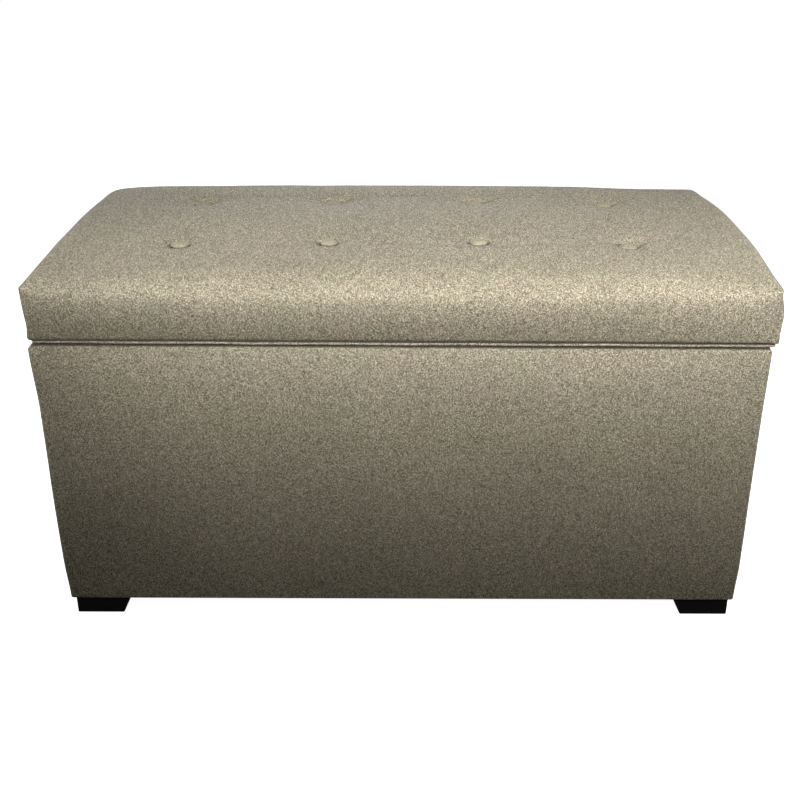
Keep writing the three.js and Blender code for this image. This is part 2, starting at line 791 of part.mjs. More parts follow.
// The right lid bracket: a plate under the lid with an ear hanging from its outer edge.
function bracketSolid() {
  const halfLength = bracketPlateLength / 2;
  const plateX = [earInnerX - bracketPlateWidth, earOuterX];
  const plateY = [rivetPoint.y - halfLength, rivetPoint.y + halfLength];
  const plate = block(plateX, plateY, [bracketPlateBottom, bracketPlateTop]);
  const earSide = [rivetPoint.y - earRadius, rivetPoint.y + earRadius];
  const ear = block([earInnerX, earOuterX], earSide, [rivetPoint.z, bracketPlateTop]);
  const earEnd = rod(earRadius, [earInnerX, earOuterX], 20).rotate([0, 90, 0]);
  const rivetHole = rod(rivetRadius + gap, [earInnerX - 1, earOuterX + 1]).rotate([0, 90, 0]);
  const bracket = plate
    .add(ear)
    .add(earEnd.translate([0, rivetPoint.y, rivetPoint.z]))
    .subtract(rivetHole.translate([0, rivetPoint.y, rivetPoint.z]));
  return cutBracketScrewHoles(bracket, [bracketPlateBottom - 1, bracketPlateTop + 1]);
}

// The slotted arm, flat, with the rivet's hole at its origin and its slot along +X.
function armGeometry() {
  const halfWidth = armWidth / 2;
  const slotRadius = studRadius + slotClearance;
  const length = openDistance + armEnd - halfWidth;
  const outline = new THREE.Shape();
  outline.absarc(0, 0, halfWidth, Math.PI / 2, 1.5 * Math.PI);
  outline.absarc(length, 0, halfWidth, -Math.PI / 2, Math.PI / 2);
  outline.closePath();
  const rivetHole = new THREE.Path().absarc(0, 0, rivetRadius + slotClearance, 0, 2 * Math.PI, true);
  const slot = new THREE.Path();
  slot.absarc(openDistance, 0, slotRadius, Math.PI / 2, -Math.PI / 2, true);
  slot.absarc(closedDistance, 0, slotRadius, -Math.PI / 2, -1.5 * Math.PI, true);
  slot.closePath();
  outline.holes.push(rivetHole, slot);
  const settings = { depth: armThickness, bevelEnabled: false, curveSegments: 6 };
  return new THREE.ExtrudeGeometry(outline, settings);
}

// A headed pin that joins ear and arm, along +X from the ear's inner side.
function rivetGeometry() {
  const headThickness = 1.3;
  const reach = armOuterX - earInnerX + 2 * gap;
  return turned([
    [0, -headThickness],
    [0.75 * rivetHeadRadius, -headThickness],
    [rivetHeadRadius, 0],
    [rivetRadius, 0],
    [rivetRadius, reach],
    [rivetHeadRadius, reach],
    [0.75 * rivetHeadRadius, reach + headThickness],
    [0, reach + headThickness],
  ], 12).rotateY(Math.PI / 2);
}

// A shouldered screw that the arm slides on, along +X into the side panel.
function studGeometry() {
  const headThickness = 2;
  const shoulder = armThickness + 2 * gap;
  const collarEnd = shoulder + armToLining - 2 * gap;
  return turned([
    [0, -headThickness],
    [0.8 * studHeadRadius, -headThickness],
    [studHeadRadius, -0.3 * headThickness],
    [studHeadRadius, 0],
    [studRadius, 0],
    [studRadius, shoulder],
    [studHeadRadius, shoulder],
    [studHeadRadius, collarEnd],
    [studRadius, collarEnd],
    [studRadius, collarEnd + 10],
    [0, collarEnd + 14],
  ], 12).rotateY(Math.PI / 2);
}

function makeStays() {
  const bracket = bracketSolid();
  const screw = screwGeometry(
    bracketScrew.headRadius,
    bracketScrew.headHeight,
    bracketScrew.shankRadius,
    bracketScrew.length,
  );
  const armDirection = studPoint.clone().sub(rivetPoint).normalize();
  const acrossArm = new THREE.Vector3(1, 0, 0).cross(armDirection);
  const armTurn = new THREE.Matrix4().makeBasis(
    armDirection,
    acrossArm,
    new THREE.Vector3(1, 0, 0),
  );
  for (const [place, side] of [["left", -1], ["right", 1]]) {
    const stay = new THREE.Group();
    stay.scale.x = side;
    assembly.add(stay);
    addSolid(`${place}_stay_bracket`, bracket, steel, stay);
    const arm = addMesh(`${place}_stay_arm`, armGeometry(), steel, stay);
    arm.quaternion.setFromRotationMatrix(armTurn);
    arm.position.set(armInnerX, rivetPoint.y, rivetPoint.z);
    const rivet = addMesh(`${place}_stay_rivet`, rivetGeometry(), steel, stay);
    rivet.position.set(earInnerX - gap, rivetPoint.y, rivetPoint.z);
    const stud = addMesh(`${place}_stay_stud`, studGeometry(), steel, stay);
    stud.position.set(armInnerX - gap, studPoint.y, studPoint.z);
    bracketScrewPlaces.forEach(([x, y], index) => {
      const mesh = addMesh(`${place}_bracket_screw_${index + 1}`, screw, steel, stay);
      mesh.position.set(x, y, bracketPlateBottom - gap);
    });
  }
}

makeFrontAndBackPanels();
makeSidePanels();
makeFloorPanel();
makePosts();
makeFeet();
makePaddings();
makeBodyCover();
makeStorageLining();
makeDustCover();
makeLidBoard();
makeSeatFoam();
makeLidCover();
makePiping();
makeLidLining();
makeButtons();
makeHinge();
makeStays();

export default bench;
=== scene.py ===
"""An upholstered storage bench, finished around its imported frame.

The frame gives every place and size. This script makes the soft goods (tufted lid cushion, body cover,
piping, buttons, linings), the visible hardware and feet, every material, the studio and the camera.
Metres, +Z up, +X to the right, +Y to the back.
"""

import json
import math

import bmesh
import bpy
import numpy as np
from mathutils import Matrix, Vector


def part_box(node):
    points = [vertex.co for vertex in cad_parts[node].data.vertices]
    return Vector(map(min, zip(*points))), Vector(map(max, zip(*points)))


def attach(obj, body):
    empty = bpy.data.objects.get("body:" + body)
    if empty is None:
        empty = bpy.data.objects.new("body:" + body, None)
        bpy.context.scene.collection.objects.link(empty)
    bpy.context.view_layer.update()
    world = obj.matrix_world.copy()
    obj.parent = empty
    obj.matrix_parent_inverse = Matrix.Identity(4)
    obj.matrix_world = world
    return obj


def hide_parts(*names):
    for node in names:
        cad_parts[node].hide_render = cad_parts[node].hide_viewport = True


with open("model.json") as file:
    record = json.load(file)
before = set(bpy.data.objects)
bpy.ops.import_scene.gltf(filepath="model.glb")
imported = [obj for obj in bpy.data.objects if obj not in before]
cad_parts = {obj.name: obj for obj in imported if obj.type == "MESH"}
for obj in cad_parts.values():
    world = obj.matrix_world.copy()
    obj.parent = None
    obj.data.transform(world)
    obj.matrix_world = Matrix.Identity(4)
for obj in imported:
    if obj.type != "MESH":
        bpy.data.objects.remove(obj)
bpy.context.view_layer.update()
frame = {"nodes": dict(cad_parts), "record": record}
scene = bpy.context.scene

MM = 0.001
TINY = 1e-9
SHARP_ANGLE = math.radians(40)  # edges that turn by more than this are shaded as edges

# ------------------------------------------------------------------ places read from the frame

LID_LOW, LID_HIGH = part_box("lid_cover")
BODY_LOW, BODY_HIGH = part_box("body_cover")
BOARD_LOW, BOARD_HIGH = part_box("lid_board")
FOAM_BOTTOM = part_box("seat_foam")[0].z
PIPING_LOW, PIPING_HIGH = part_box("lid_piping")
LINING_LOW, LINING_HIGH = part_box("storage_lining")
LID_LINING_LOW, LID_LINING_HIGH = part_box("lid_lining")
DUST_LOW, DUST_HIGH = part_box("base_dust_cover")
POST_LOW, POST_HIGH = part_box("front_right_post")

MID_Y = (LID_LOW.y + LID_HIGH.y) / 2
TO_MIDDLE = Matrix.Translation((0, MID_Y, 0))
LID_HALF_X = (LID_HIGH.x - LID_LOW.x) / 2
LID_HALF_Y = (LID_HIGH.y - LID_LOW.y) / 2
BODY_HALF_X = (BODY_HIGH.x - BODY_LOW.x) / 2
BODY_HALF_Y = (BODY_HIGH.y - BODY_LOW.y) / 2
BUTTON_BOXES = [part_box(f"tufting_button_{number}") for number in range(1, 9)]
CORNERS = [
    ("front_left", -1, -1),
    ("front_right", 1, -1),
    ("back_left", -1, 1),
    ("back_right", 1, 1),
]

CLOTH = 1.5 * MM  # thickness of the upholstery fabric

# Cushion
CROWN = 9 * MM  # rise of the top's middle over its edges
EDGE_TOP = LID_HIGH.z - CROWN  # where the flat of the top would meet the sides
FRONT_BULGE = 17 * MM  # how far each side's middle stands out over the seam
BACK_BULGE = -1 * MM
LEFT_BULGE = 4 * MM
RIGHT_BULGE = 10.5 * MM
SEAM_GAP = 0.8 * MM
COVER_RETURN = 30 * MM  # turned in under the board
BAND = 66 * MM  # the strip along each edge of the top that its roll may take up
ROLL_STEPS = 10  # grid steps across that strip
SIDE_STEPS = 11  # grid steps up a side
# (side x, side y, how far the corner of the top hangs, its reach along x and along y)
CORNER_DROOPS = [
    (-1, -1, 5 * MM, 90 * MM, 60 * MM),
    (1, -1, 9 * MM, 90 * MM, 75 * MM),
    (-1, 1, 5 * MM, 60 * MM, 110 * MM),
    (1, 1, 8 * MM, 190 * MM, 90 * MM),
]
# (side x, side y, radius in plan)
CORNER_ROUNDS = [(-1, -1, 4 * MM), (1, -1, 7 * MM), (-1, 1, 34 * MM), (1, 1, 14 * MM)]

# Tufting
DIMPLE_DEPTH = 5.5 * MM
DIMPLE_REACH = 17 * MM  # the distance over which the fabric rises again by two thirds
BUTTON_RADIUS = 11.5 * MM
TUFT_PATCH = 24 * MM  # round each button the grid is finer, and its squares turn to rings
WELL_DEPTH = 9 * MM  # the fabric dives under the button's rim
# How far each button stands to the right of its mark, and how much deeper it is drawn in
BUTTON_DRIFTS = [3.5 * MM, 3.5 * MM, 3.5 * MM, 3.5 * MM, 0.0, -3 * MM, 7 * MM, 1.5 * MM]
BUTTON_SINKS = [0.0, 0.0, -0.5 * MM, 3 * MM, 3 * MM, 3 * MM, 3 * MM, 3 * MM]
# Each button's mark and its real place, with the bench's middle at y = 0
BUTTON_MARKS = [((low.x + high.x) / 2, (low.y + high.y) / 2 - MID_Y) for low, high in BUTTON_BOXES]
BUTTON_PLACES = [(x + drift, y) for (x, y), drift in zip(BUTTON_MARKS, BUTTON_DRIFTS)]
# (button, heading in degrees, length, depth) of the folds that the tufting draws in the cloth
BUTTON_FOLDS = [
    (0, 6, 42, 0.6), (1, 172, 30, 0.7), (1, 6, 22, 0.5), (3, 175, 28, 0.6),
    (3, 8, 34, 0.5), (4, 15, 26, 0.6), (5, 172, 34, 1.1), (5, 10, 50, 0.8),
    (6, 172, 44, 1.1), (6, 10, 34, 1.0), (7, 170, 46, 1.2), (7, 12, 28, 0.8),
]


# ------------------------------------------------------------------ mesh helpers


def in_mm(*pairs):
    """Pairs of lengths in millimetres, in metres."""
    return [(first * MM, second * MM) for first, second in pairs]


def link_object(name, data):
    made = bpy.data.objects.new(name, data)
    scene.collection.objects.link(made)
    return made


def object_from(name, built):
    """An object of what a bmesh holds. The bmesh is freed."""
    mesh = bpy.data.meshes.new(name)
    built.to_mesh(mesh)
    built.free()
    return link_object(name, mesh)


def new_object(name, vertices, faces, smooth=True):
    mesh = bpy.data.meshes.new(name)
    mesh.from_pydata([tuple(v) for v in vertices], [], [tuple(f) for f in faces])
    mesh.validate()
    made = link_object(name, mesh)
    if smooth:
        mesh.polygons.foreach_set("use_smooth", [True] * len(mesh.polygons))
    return made


def positions(obj):
    flat = np.zeros(len(obj.data.vertices) * 3)
    obj.data.vertices.foreach_get("co", flat)
    return flat.reshape(-1, 3)


def point_normals(obj):
    flat = np.zeros(len(obj.data.vertices) * 3)
    obj.data.vertices.foreach_get("normal", flat)
    return flat.reshape(-1, 3)


def set_positions(obj, points):
    obj.data.vertices.foreach_set("co", np.asarray(points, float).ravel())
    obj.data.update()


def modify(obj, kind, **settings):
    """Applies one modifier."""
    modifier = obj.modifiers.new(kind, kind)
    for name, value in settings.items():
        setattr(modifier, name, value)
    bpy.context.view_layer.update()
    graph = bpy.context.evaluated_depsgraph_get()
    finished = bpy.data.meshes.new_from_object(obj.evaluated_get(graph))
    obj.modifiers.clear()
    obj.data = finished


def subdivide(obj):
    modify(obj, "SUBSURF", levels=1, render_levels=1)


def thicken(obj, thickness):
    """Gives an open sheet its thickness, inwards from its outer face."""
    modify(obj, "SOLIDIFY", thickness=thickness, offset=-1, use_quality_normals=True)


def soften_edges(obj, width, segments=2, angle=math.radians(35)):
    modify(obj, "BEVEL", width=width, segments=segments, limit_method="ANGLE", angle_limit=angle)
    obj.data.polygons.foreach_set("use_smooth", [True] * len(obj.data.polygons))
    obj.data.set_sharp_from_angle(angle=SHARP_ANGLE)
    return obj


def cut_out(obj, cutter):
    """Takes the cutter's shape out of the object. The cutter goes."""
    modify(obj, "BOOLEAN", operation="DIFFERENCE", object=cutter)
    bpy.data.objects.remove(cutter)


def smoothstep(low, high, value):
    t = np.clip((np.asarray(value, float) - low) / (high - low), 0, 1)
    return t * t * (3 - 2 * t)


def lattice_noise(points, seed):
    """Smooth noise between -1 and 1 at the given points, which are in cells of the lattice."""
    points = np.asarray(points, float)
    base = np.floor(points).astype(np.int64)
    share = points - base
    share = share * share * (3 - 2 * share)
    total = np.zeros(len(points))
    for corner in range(8):
        offset = np.array([(corner >> axis) & 1 for axis in range(3)])
        cell = base + offset
        # Large odd multipliers scatter neighbouring cells.
        mixed = cell[:, 0] * 73856093 ^ cell[:, 1] * 19349663 ^ cell[:, 2] * 83492791 ^ seed * 2654435761
        mixed = (mixed ^ (mixed >> 13)) * 1274126177 & 0x7FFFFFFF
        value = (mixed % 20011) / 10005.0 - 1
        weight = np.prod(np.where(offset == 1, share, 1 - share), axis=1)
        total += weight * value
    return total


def box_lattice(steps_x, steps_y, steps_z):
    """The grid indices (i, j, k) of a box's surface, and its faces, wound outwards."""
    index = {}
    faces = []

    def corner(i, j, k):
        return index.setdefault((i, j, k), len(index))

    def face(*corners):
        faces.append([corner(*c) for c in corners])

    for i in range(steps_x):
        for j in range(steps_y):
            face((i, j, steps_z), (i + 1, j, steps_z), (i + 1, j + 1, steps_z), (i, j + 1, steps_z))
            face((i, j, 0), (i, j + 1, 0), (i + 1, j + 1, 0), (i + 1, j, 0))
    for k in range(steps_z):
        for i in range(steps_x):
            face((i, 0, k), (i + 1, 0, k), (i + 1, 0, k + 1), (i, 0, k + 1))
            face((i + 1, steps_y, k), (i, steps_y, k), (i, steps_y, k + 1), (i + 1, steps_y, k + 1))
        for j in range(steps_y):
            face((0, j + 1, k), (0, j, k), (0, j, k + 1), (0, j + 1, k + 1))
            face((steps_x, j, k), (steps_x, j + 1, k), (steps_x, j + 1, k + 1), (steps_x, j, k + 1))
    return np.array(list(index)), faces


def ring_faces(rings, width, turned=False):
    """Four-sided faces between rings of points that follow each other, each with width points. They look
    outwards for rings that run anticlockwise from the bottom up, and inwards when turned."""
    faces = []
    for low in range(0, (rings - 1) * width, width):
        high = low + width
        for step in range(width):
            after = (step + 1) % width
            if turned:
                faces.append((low + step, high + step, high + after, low + after))
            else:
                faces.append((low + step, low + after, high + after, high + step))
    return faces


def arc(centre, radius, first, sweep, steps):
    """Points along an arc, with both its ends."""
    turns = [first + sweep * step / steps for step in range(steps + 1)]
    return [(centre[0] + radius * math.cos(turn), centre[1] + radius * math.sin(turn)) for turn in turns]


def revolve(profile, segments=24, closed=False):
    """Vertices and faces of a profile of (radius, height) pairs turned about Z, wound outwards for a
    profile that runs upwards. A closed profile makes a ring."""
    vertices = []
    rings = []
    for radius, height in profile:
        if radius < TINY:
            rings.append([len(vertices)] * segments)
            vertices.append((0.0, 0.0, height))
            continue
        rings.append([len(vertices) + s for s in range(segments)])
        for s in range(segments):
            turn = 2 * math.pi * s / segments
            vertices.append((radius * math.cos(turn), radius * math.sin(turn), height))
    faces = []
    pairs = list(zip(rings, rings[1:])) + ([(rings[-1], rings[0])] if closed else [])
    for lower, upper in pairs:
        for s in range(segments):
            t = (s + 1) % segments
            face = [lower[s], lower[t], upper[t], upper[s]]
            trimmed = [v for n, v in enumerate(face) if v not in face[:n]]
            if len(trimmed) > 2:
                faces.append(trimmed)
    return vertices, faces


def turned_piece(name, profile, matrix, segments=24, closed=False):
    vertices, faces = revolve(profile, segments, closed)
    made = new_object(name, vertices, faces)
    made.data.transform(matrix)
    made.data.set_sharp_from_angle(angle=SHARP_ANGLE)
    return made


def box_piece(name, low, high, rounding, segments=2):
    x0, y0, z0 = low
    x1, y1, z1 = high
    vertices = [(x, y, z) for x in (x0, x1) for y in (y0, y1) for z in (z0, z1)]
    faces = [(0, 1, 3, 2), (4, 6, 7, 5), (0, 4, 5, 1), (2, 3, 7, 6), (0, 2, 6, 4), (1, 5, 7, 3)]
    return soften_edges(new_object(name, vertices, faces), rounding, segments)


def join(name, parts):
    """One object that holds all the parts' meshes."""
    whole = bmesh.new()
    for part in parts:
        part.data.transform(part.matrix_world)
        whole.from_mesh(part.data)
        bpy.data.objects.remove(part)
    return object_from(name, whole)


def rounded_outline(half_x, half_y, radius, spacing, arc_steps):
    """Points round a rounded rectangle, anticlockwise from the right end of its back."""
    points = []
    runs = [
        ((half_x - radius, half_y), (-half_x + radius, half_y), (0, 1)),
        ((-half_x, half_y - radius), (-half_x, -half_y + radius), (-1, 0)),
        ((-half_x + radius, -half_y), (half_x - radius, -half_y), (0, -1)),
        ((half_x, -half_y + radius), (half_x, half_y - radius), (1, 0)),
    ]
    for (x0, y0), (x1, y1), (out_x, out_y) in runs:
        count = max(2, round(math.dist((x0, y0), (x1, y1)) / spacing))
        shares = [step / count for step in range(count + 1)]
        points += [(x0 + (x1 - x0) * share, y0 + (y1 - y0) * share) for share in shares]
        centre = (x1 - out_x * radius, y1 - out_y * radius)
        points += arc(centre, radius, math.atan2(out_y, out_x), math.pi / 2, arc_steps)[1:-1]
    return points


def middle(node):
    low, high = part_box(node)
    return (low + high) / 2


# ------------------------------------------------------------------ cushion


def grid_lines(low, high, spacing, dense_places, dense_reach, dense_spacing):
    """Places from low to high, closer together round each dense place."""
    edges = [low]
    kinds = []
    for place in dense_places:
        edges += [place - dense_reach, place + dense_reach]
        kinds += [spacing, dense_spacing]
    edges.append(high)
    kinds.append(spacing)
    lines = [low]
    for start, end, step in zip(edges, edges[1:], kinds):
        count = max(1, round((end - start) / step))
        lines += [start + (end - start) * n / count for n in range(1, count + 1)]
    return np.array(lines)


# Each of the next three gives how far in an edge's roll starts and how far it falls.


def front_roll(x):
    """Wide in the middle and tight at the corners."""
    from_corner = smoothstep(0, 85 * MM, LID_HALF_X - np.abs(x))
    return (8 + 54 * from_corner) * MM, (6 + 20 * from_corner) * MM


def back_roll(x):
    """Narrower than the front's."""
    from_corner = smoothstep(0, 120 * MM, LID_HALF_X - np.abs(x))
    return (14 + 16 * from_corner) * MM, (12 + 12 * from_corner) * MM


def side_roll(y, side):
    """Tight, most of all at the front."""
    from_front = smoothstep(-10 * MM, 90 * MM, y + LID_HALF_Y)
    fall = (5 + (8 if side < 0 else 9) * from_front) * MM
    return 1.4 * fall, fall


def roll_drop(distance, reach, fall, fullness):
    """How far a rolled edge has fallen at a distance in from it: a quarter ellipse for a fullness of 2,
    squarer above it."""
    inward = np.clip(1 - distance / reach, 0, 1)
    return fall * (1 - (1 - inward**2) ** (1 / fullness))


def seam_lift(x, y):
    """The seam stands a little higher towards the left, and comes down to its frame height behind."""
    leftness = (1 - x / LID_HALF_X) / 2
    return (0.6 + 4.4 * leftness) * MM * (1 - smoothstep(0, 0.18, y))


def droop(x, y):
    """How far the top hangs towards its corners."""
    total = np.zeros(np.shape(x))
    for side_x, side_y, depth, reach_x, reach_y in CORNER_DROOPS:
        along_x = (LID_HALF_X - side_x * x) / reach_x
        along_y = (LID_HALF_Y - side_y * y) / reach_y
        total += depth * np.exp(-(along_x**2) - along_y**2)
    return total


def round_corners(x, y, half_x, half_y):
    """Bends the square corners of the plan to quarter rounds."""
    for side_x, side_y, radius in CORNER_ROUNDS:
        u = (side_x * x - half_x + radius) / radius
        v = (side_y * y - half_y + radius) / radius
        inside = (u > 0) & (v > 0)
        length = np.hypot(u, v)
        shrink = np.where(inside, np.maximum(u, v) / np.maximum(length, TINY), 1.0)
        x = np.where(inside, side_x * (half_x - radius + radius * u * shrink), x)
        y = np.where(inside, side_y * (half_y - radius + radius * v * shrink), y)
    return x, y


def dimple(x, y):
    """How far the buttons pull the top down at (x, y)."""
    widening = 18 * MM
    sink_reach = 9 * MM
    pull = np.zeros(np.shape(x))
    for (bx, by), sink in zip(BUTTON_PLACES, BUTTON_SINKS):
        from_rim = np.hypot(x - bx, y - by) - BUTTON_RADIUS
        beyond = np.maximum(from_rim, 0)
        shoulder = np.exp(-beyond / DIMPLE_REACH) / np.sqrt(1 + beyond / widening)
        pull += DIMPLE_DEPTH * shoulder + sink * np.exp(-beyond / sink_reach)
        pull += WELL_DEPTH * (1 - smoothstep(0.2 * MM, 1.9 * MM, from_rim))
    return pull


def ring_round_buttons(x, y):
    """Turns the grid's squares round each button to rings, closer together at the button's rim, and
    takes them along with the button's drift."""
    squares = np.array([0, 3, 6, 9, 12, 15, 18, 24]) * MM
    rings = np.array([0, 4.5, 8.5, 10.7, 12.2, 13.8, 16.8, 24]) * MM
    for (mark_x, mark_y), drift in zip(BUTTON_MARKS, BUTTON_DRIFTS):
        dx, dy = x - mark_x, y - mark_y
        square = np.maximum(np.abs(dx), np.abs(dy))
        near = square < TUFT_PATCH - 1e-6
        share = 1 - smoothstep(15 * MM, TUFT_PATCH, square)
        length = np.maximum(np.hypot(dx, dy), TINY)
        scale = (1 - share) + share * np.interp(square, squares, rings) / length
        x = np.where(near, mark_x + dx * scale + drift * share, x)
        y = np.where(near, mark_y + dy * scale, y)
    return x, y


def grid_places(index, inner, half):
    """Places of the grid lines: even steps across each edge strip, and the inner lines between."""
    first = np.linspace(-half, inner[0], ROLL_STEPS + 1)[:-1]
    last = np.linspace(inner[-1], half, ROLL_STEPS + 1)[1:]
    return np.concatenate([first, inner, last])[index]


def roll_strips(index, place, half, fullness, ends):
    """Place and drop along one axis. The edge strips bulge out and roll down; between them the lines
    stay even. Each end is ((reach, fall), bulge)."""
    result = place.copy()
    drop = np.zeros(len(place))
    for steps_in, ((reach, fall), bulge), sign in zip((index, index.max() - index), ends, (-1, 1)):
        strip = steps_in < ROLL_STEPS
        share = np.minimum(steps_in / ROLL_STEPS, 1.0)
        distance = (BAND + bulge) * share ** (2 + 1.2 * (1 - reach / BAND))
        result = np.where(strip, sign * (half + bulge - distance), result)
        drop = np.where(strip, roll_drop(distance, reach, fall, fullness), drop)
    return result, drop


def tucks(below, leftness, middle_x, middle_y):
    """How far the left, right, front and back turn in, given the share of their height that a point is
    below the top and how near it is to the middle of the side. The front turns in latest on the left."""
    hollow = smoothstep(0.04, 0.16, below) * (1 - smoothstep(0.55, 1.0, below))
    left = (1.4 + 4.5 * middle_y) * below**2 + 2.6 * (1 - middle_y) * hollow
    right = 10.5 * middle_y * below**1.5 + 1.2 * below**2 - 6.0 * smoothstep(0, 0.5, below)
    front = (1.5 + 22.0 * middle_x) * below ** (1.24 + 0.2 * leftness)
    return left * MM, right * MM, front * MM, 1.5 * MM * below**2


def cushion_surface(spacing, dense_spacing, inset=0.0, bottom=None):
    """Grid, faces and points of the cushion's closed form, drawn inside its surface by inset."""
    half_x = LID_HALF_X - inset
    half_y = LID_HALF_Y - inset
    base = LID_LOW.z if bottom is None else bottom
    button_x = sorted({round(x, 4) for x, _ in BUTTON_MARKS})
    button_y = sorted({round(y, 4) for _, y in BUTTON_MARKS})
    inner_x = grid_lines(-half_x + BAND, half_x - BAND, spacing, button_x, TUFT_PATCH, dense_spacing)
    inner_y = grid_lines(-half_y + BAND, half_y - BAND, spacing, button_y, TUFT_PATCH, dense_spacing)
    steps_x = len(inner_x) - 1 + 2 * ROLL_STEPS
    steps_y = len(inner_y) - 1 + 2 * ROLL_STEPS
    grid, faces = box_lattice(steps_x, steps_y, SIDE_STEPS)
    i, j, k = grid.T
    x0 = grid_places(i, inner_x, half_x)
    y0 = grid_places(j, inner_y, half_y)

    # The top, with its rolled edges
    middle_x = np.maximum(1 - (x0 / half_x) ** 2, 0) ** 0.3
    middle_y = np.maximum(1 - (y0 / half_y) ** 2, 0) ** 0.9
    sides = ((side_roll(y0, -1), LEFT_BULGE * middle_y), (side_roll(y0, 1), RIGHT_BULGE * middle_y))
    ends = ((front_roll(x0), FRONT_BULGE * middle_x), (back_roll(x0), BACK_BULGE * middle_x))
    x, drop_x = roll_strips(i, x0, half_x, 2.0, sides)
    y, drop_y = roll_strips(j, y0, half_y, 2.8, ends)
    drop = (drop_x**3 + drop_y**3) ** (1 / 3)
    crown = CROWN * np.maximum(1 - (x / half_x) ** 2, 0) * np.maximum(1 - (y / half_y) ** 2, 0)
    top = EDGE_TOP - inset + crown - drop - droop(x, y)

    # The sides. Their first step up is the fold of cloth that turns in under the board's edge.
    height = np.interp(k, [0, 1, 2, SIDE_STEPS], [0, 0, 0.05, 1])
    foot = base + (seam_lift(x, y) + SEAM_GAP if bottom is None else 0)
    z = foot + (top - foot) * height
    leftness = smoothstep(0, 1, (1 - x / half_x) / 2)
    left, right, front, back = tucks(1 - height, leftness, middle_x, middle_y)
    y = y + np.where(j == 0, front, 0) - np.where(j == steps_y, back, 0)
    x = x + np.where(i == 0, left, 0) - np.where(i == steps_x, right, 0)
    x, y = round_corners(x, y, half_x, half_y)

    # The underside lies flat, its edge close round the board's.
    under = k == 0
    hem = 1.2 * MM  # from the board's edge
    hem_x = min(half_x - 2 * MM, (BOARD_HIGH.x - BOARD_LOW.x) / 2 + hem)
    hem_y = min(half_y - 2 * MM, (BOARD_HIGH.y - BOARD_LOW.y) / 2 + hem)
    x = np.where(under, x0 * hem_x / half_x, x)
    y = np.where(under, y0 * hem_y / half_y, y)
    z = np.where(under, base + 0.2 * MM, z)

    # The tufting
    on_top = k == SIDE_STEPS
    ringed_x, ringed_y = ring_round_buttons(x, y)
    x = np.where(on_top, ringed_x, x)
    y = np.where(on_top, ringed_y, y)
    points = np.stack([x, y, z - np.where(on_top, dimple(x, y), 0)], axis=1)
    return grid, faces, points, (steps_x, steps_y)


def settle(obj, pinned, pressure, cap, frames=20):
    """Blender's cloth pulls the fabric taut over its stuffing. No point moves further than cap."""
    before = positions(obj)
    group = obj.vertex_groups.new(name="pinned")
    group.add([int(n) for n in np.nonzero(pinned)[0]], 1.0, "REPLACE")
    cloth = obj.modifiers.new("settle", "CLOTH")
    settings = {
        "quality": 5,
        "mass": 0.25,
        "tension_stiffness": 25,
        "compression_stiffness": 12,
        "shear_stiffness": 8,
        "bending_stiffness": 1.5,
        "use_pressure": True,
        "uniform_pressure_force": pressure,
        "vertex_group_mass": group.name,
    }
    for name, value in settings.items():
        setattr(cloth.settings, name, value)
    cloth.settings.effector_weights.gravity = 0
    cloth.point_cache.frame_start = 1
    cloth.point_cache.frame_end = frames
    for number in range(1, frames + 1):
        scene.frame_set(number)
    evaluated = obj.evaluated_get(bpy.context.evaluated_depsgraph_get())
    after = np.zeros(len(before) * 3)
    evaluated.to_mesh().vertices.foreach_get("co", after)
    evaluated.to_mesh_clear()
    obj.modifiers.clear()
    obj.vertex_groups.clear()
    scene.frame_set(1)
    move = after.reshape(-1, 3) - before
    length = np.linalg.norm(move, axis=1, keepdims=True)
    limited = cap * np.tanh(length / cap)
    set_positions(obj, before + move * limited / np.maximum(length, TINY))


def paint_fold_shade(obj, depth):
    """Stores painted shade, from 0 to 1, at each point; the cloth's colour darkens towards near black with
    it.
    """
    folds = obj.data.attributes.new("painted_fold_shade", "FLOAT", "POINT")
    folds.data.foreach_set("value", np.clip(depth, 0, 1).astype(np.float32))


def pleat(points, start, heading, length, depth, width):
    """A small fold of cloth that runs from start along heading: a crease with a ridge beside it.
    Gives back how deep in the crease each point lies, as the share of shade to paint there."""
    dx = points[:, 0] - start[0]
    dy = points[:, 1] - start[1]
    along = (dx * math.cos(heading) + dy * math.sin(heading)) / length
    bend = 0.12 * length * np.clip(along, 0, 1) ** 2
    across = -dx * math.sin(heading) + dy * math.cos(heading) - bend
    window = smoothstep(-0.05, 0.12, along) * (1 - smoothstep(0.35, 1.0, along))
    crease = -np.exp(-((across / width) ** 2))
    ridge = 0.55 * np.exp(-(((across - 2.1 * width) / (1.7 * width)) ** 2))
    points[:, 2] += depth * window * (crease + ridge)
    # Painted shade: darkest along the crease's bottom.
    return -crease**3 * window * np.minimum(depth / (1.2 * MM), 1)


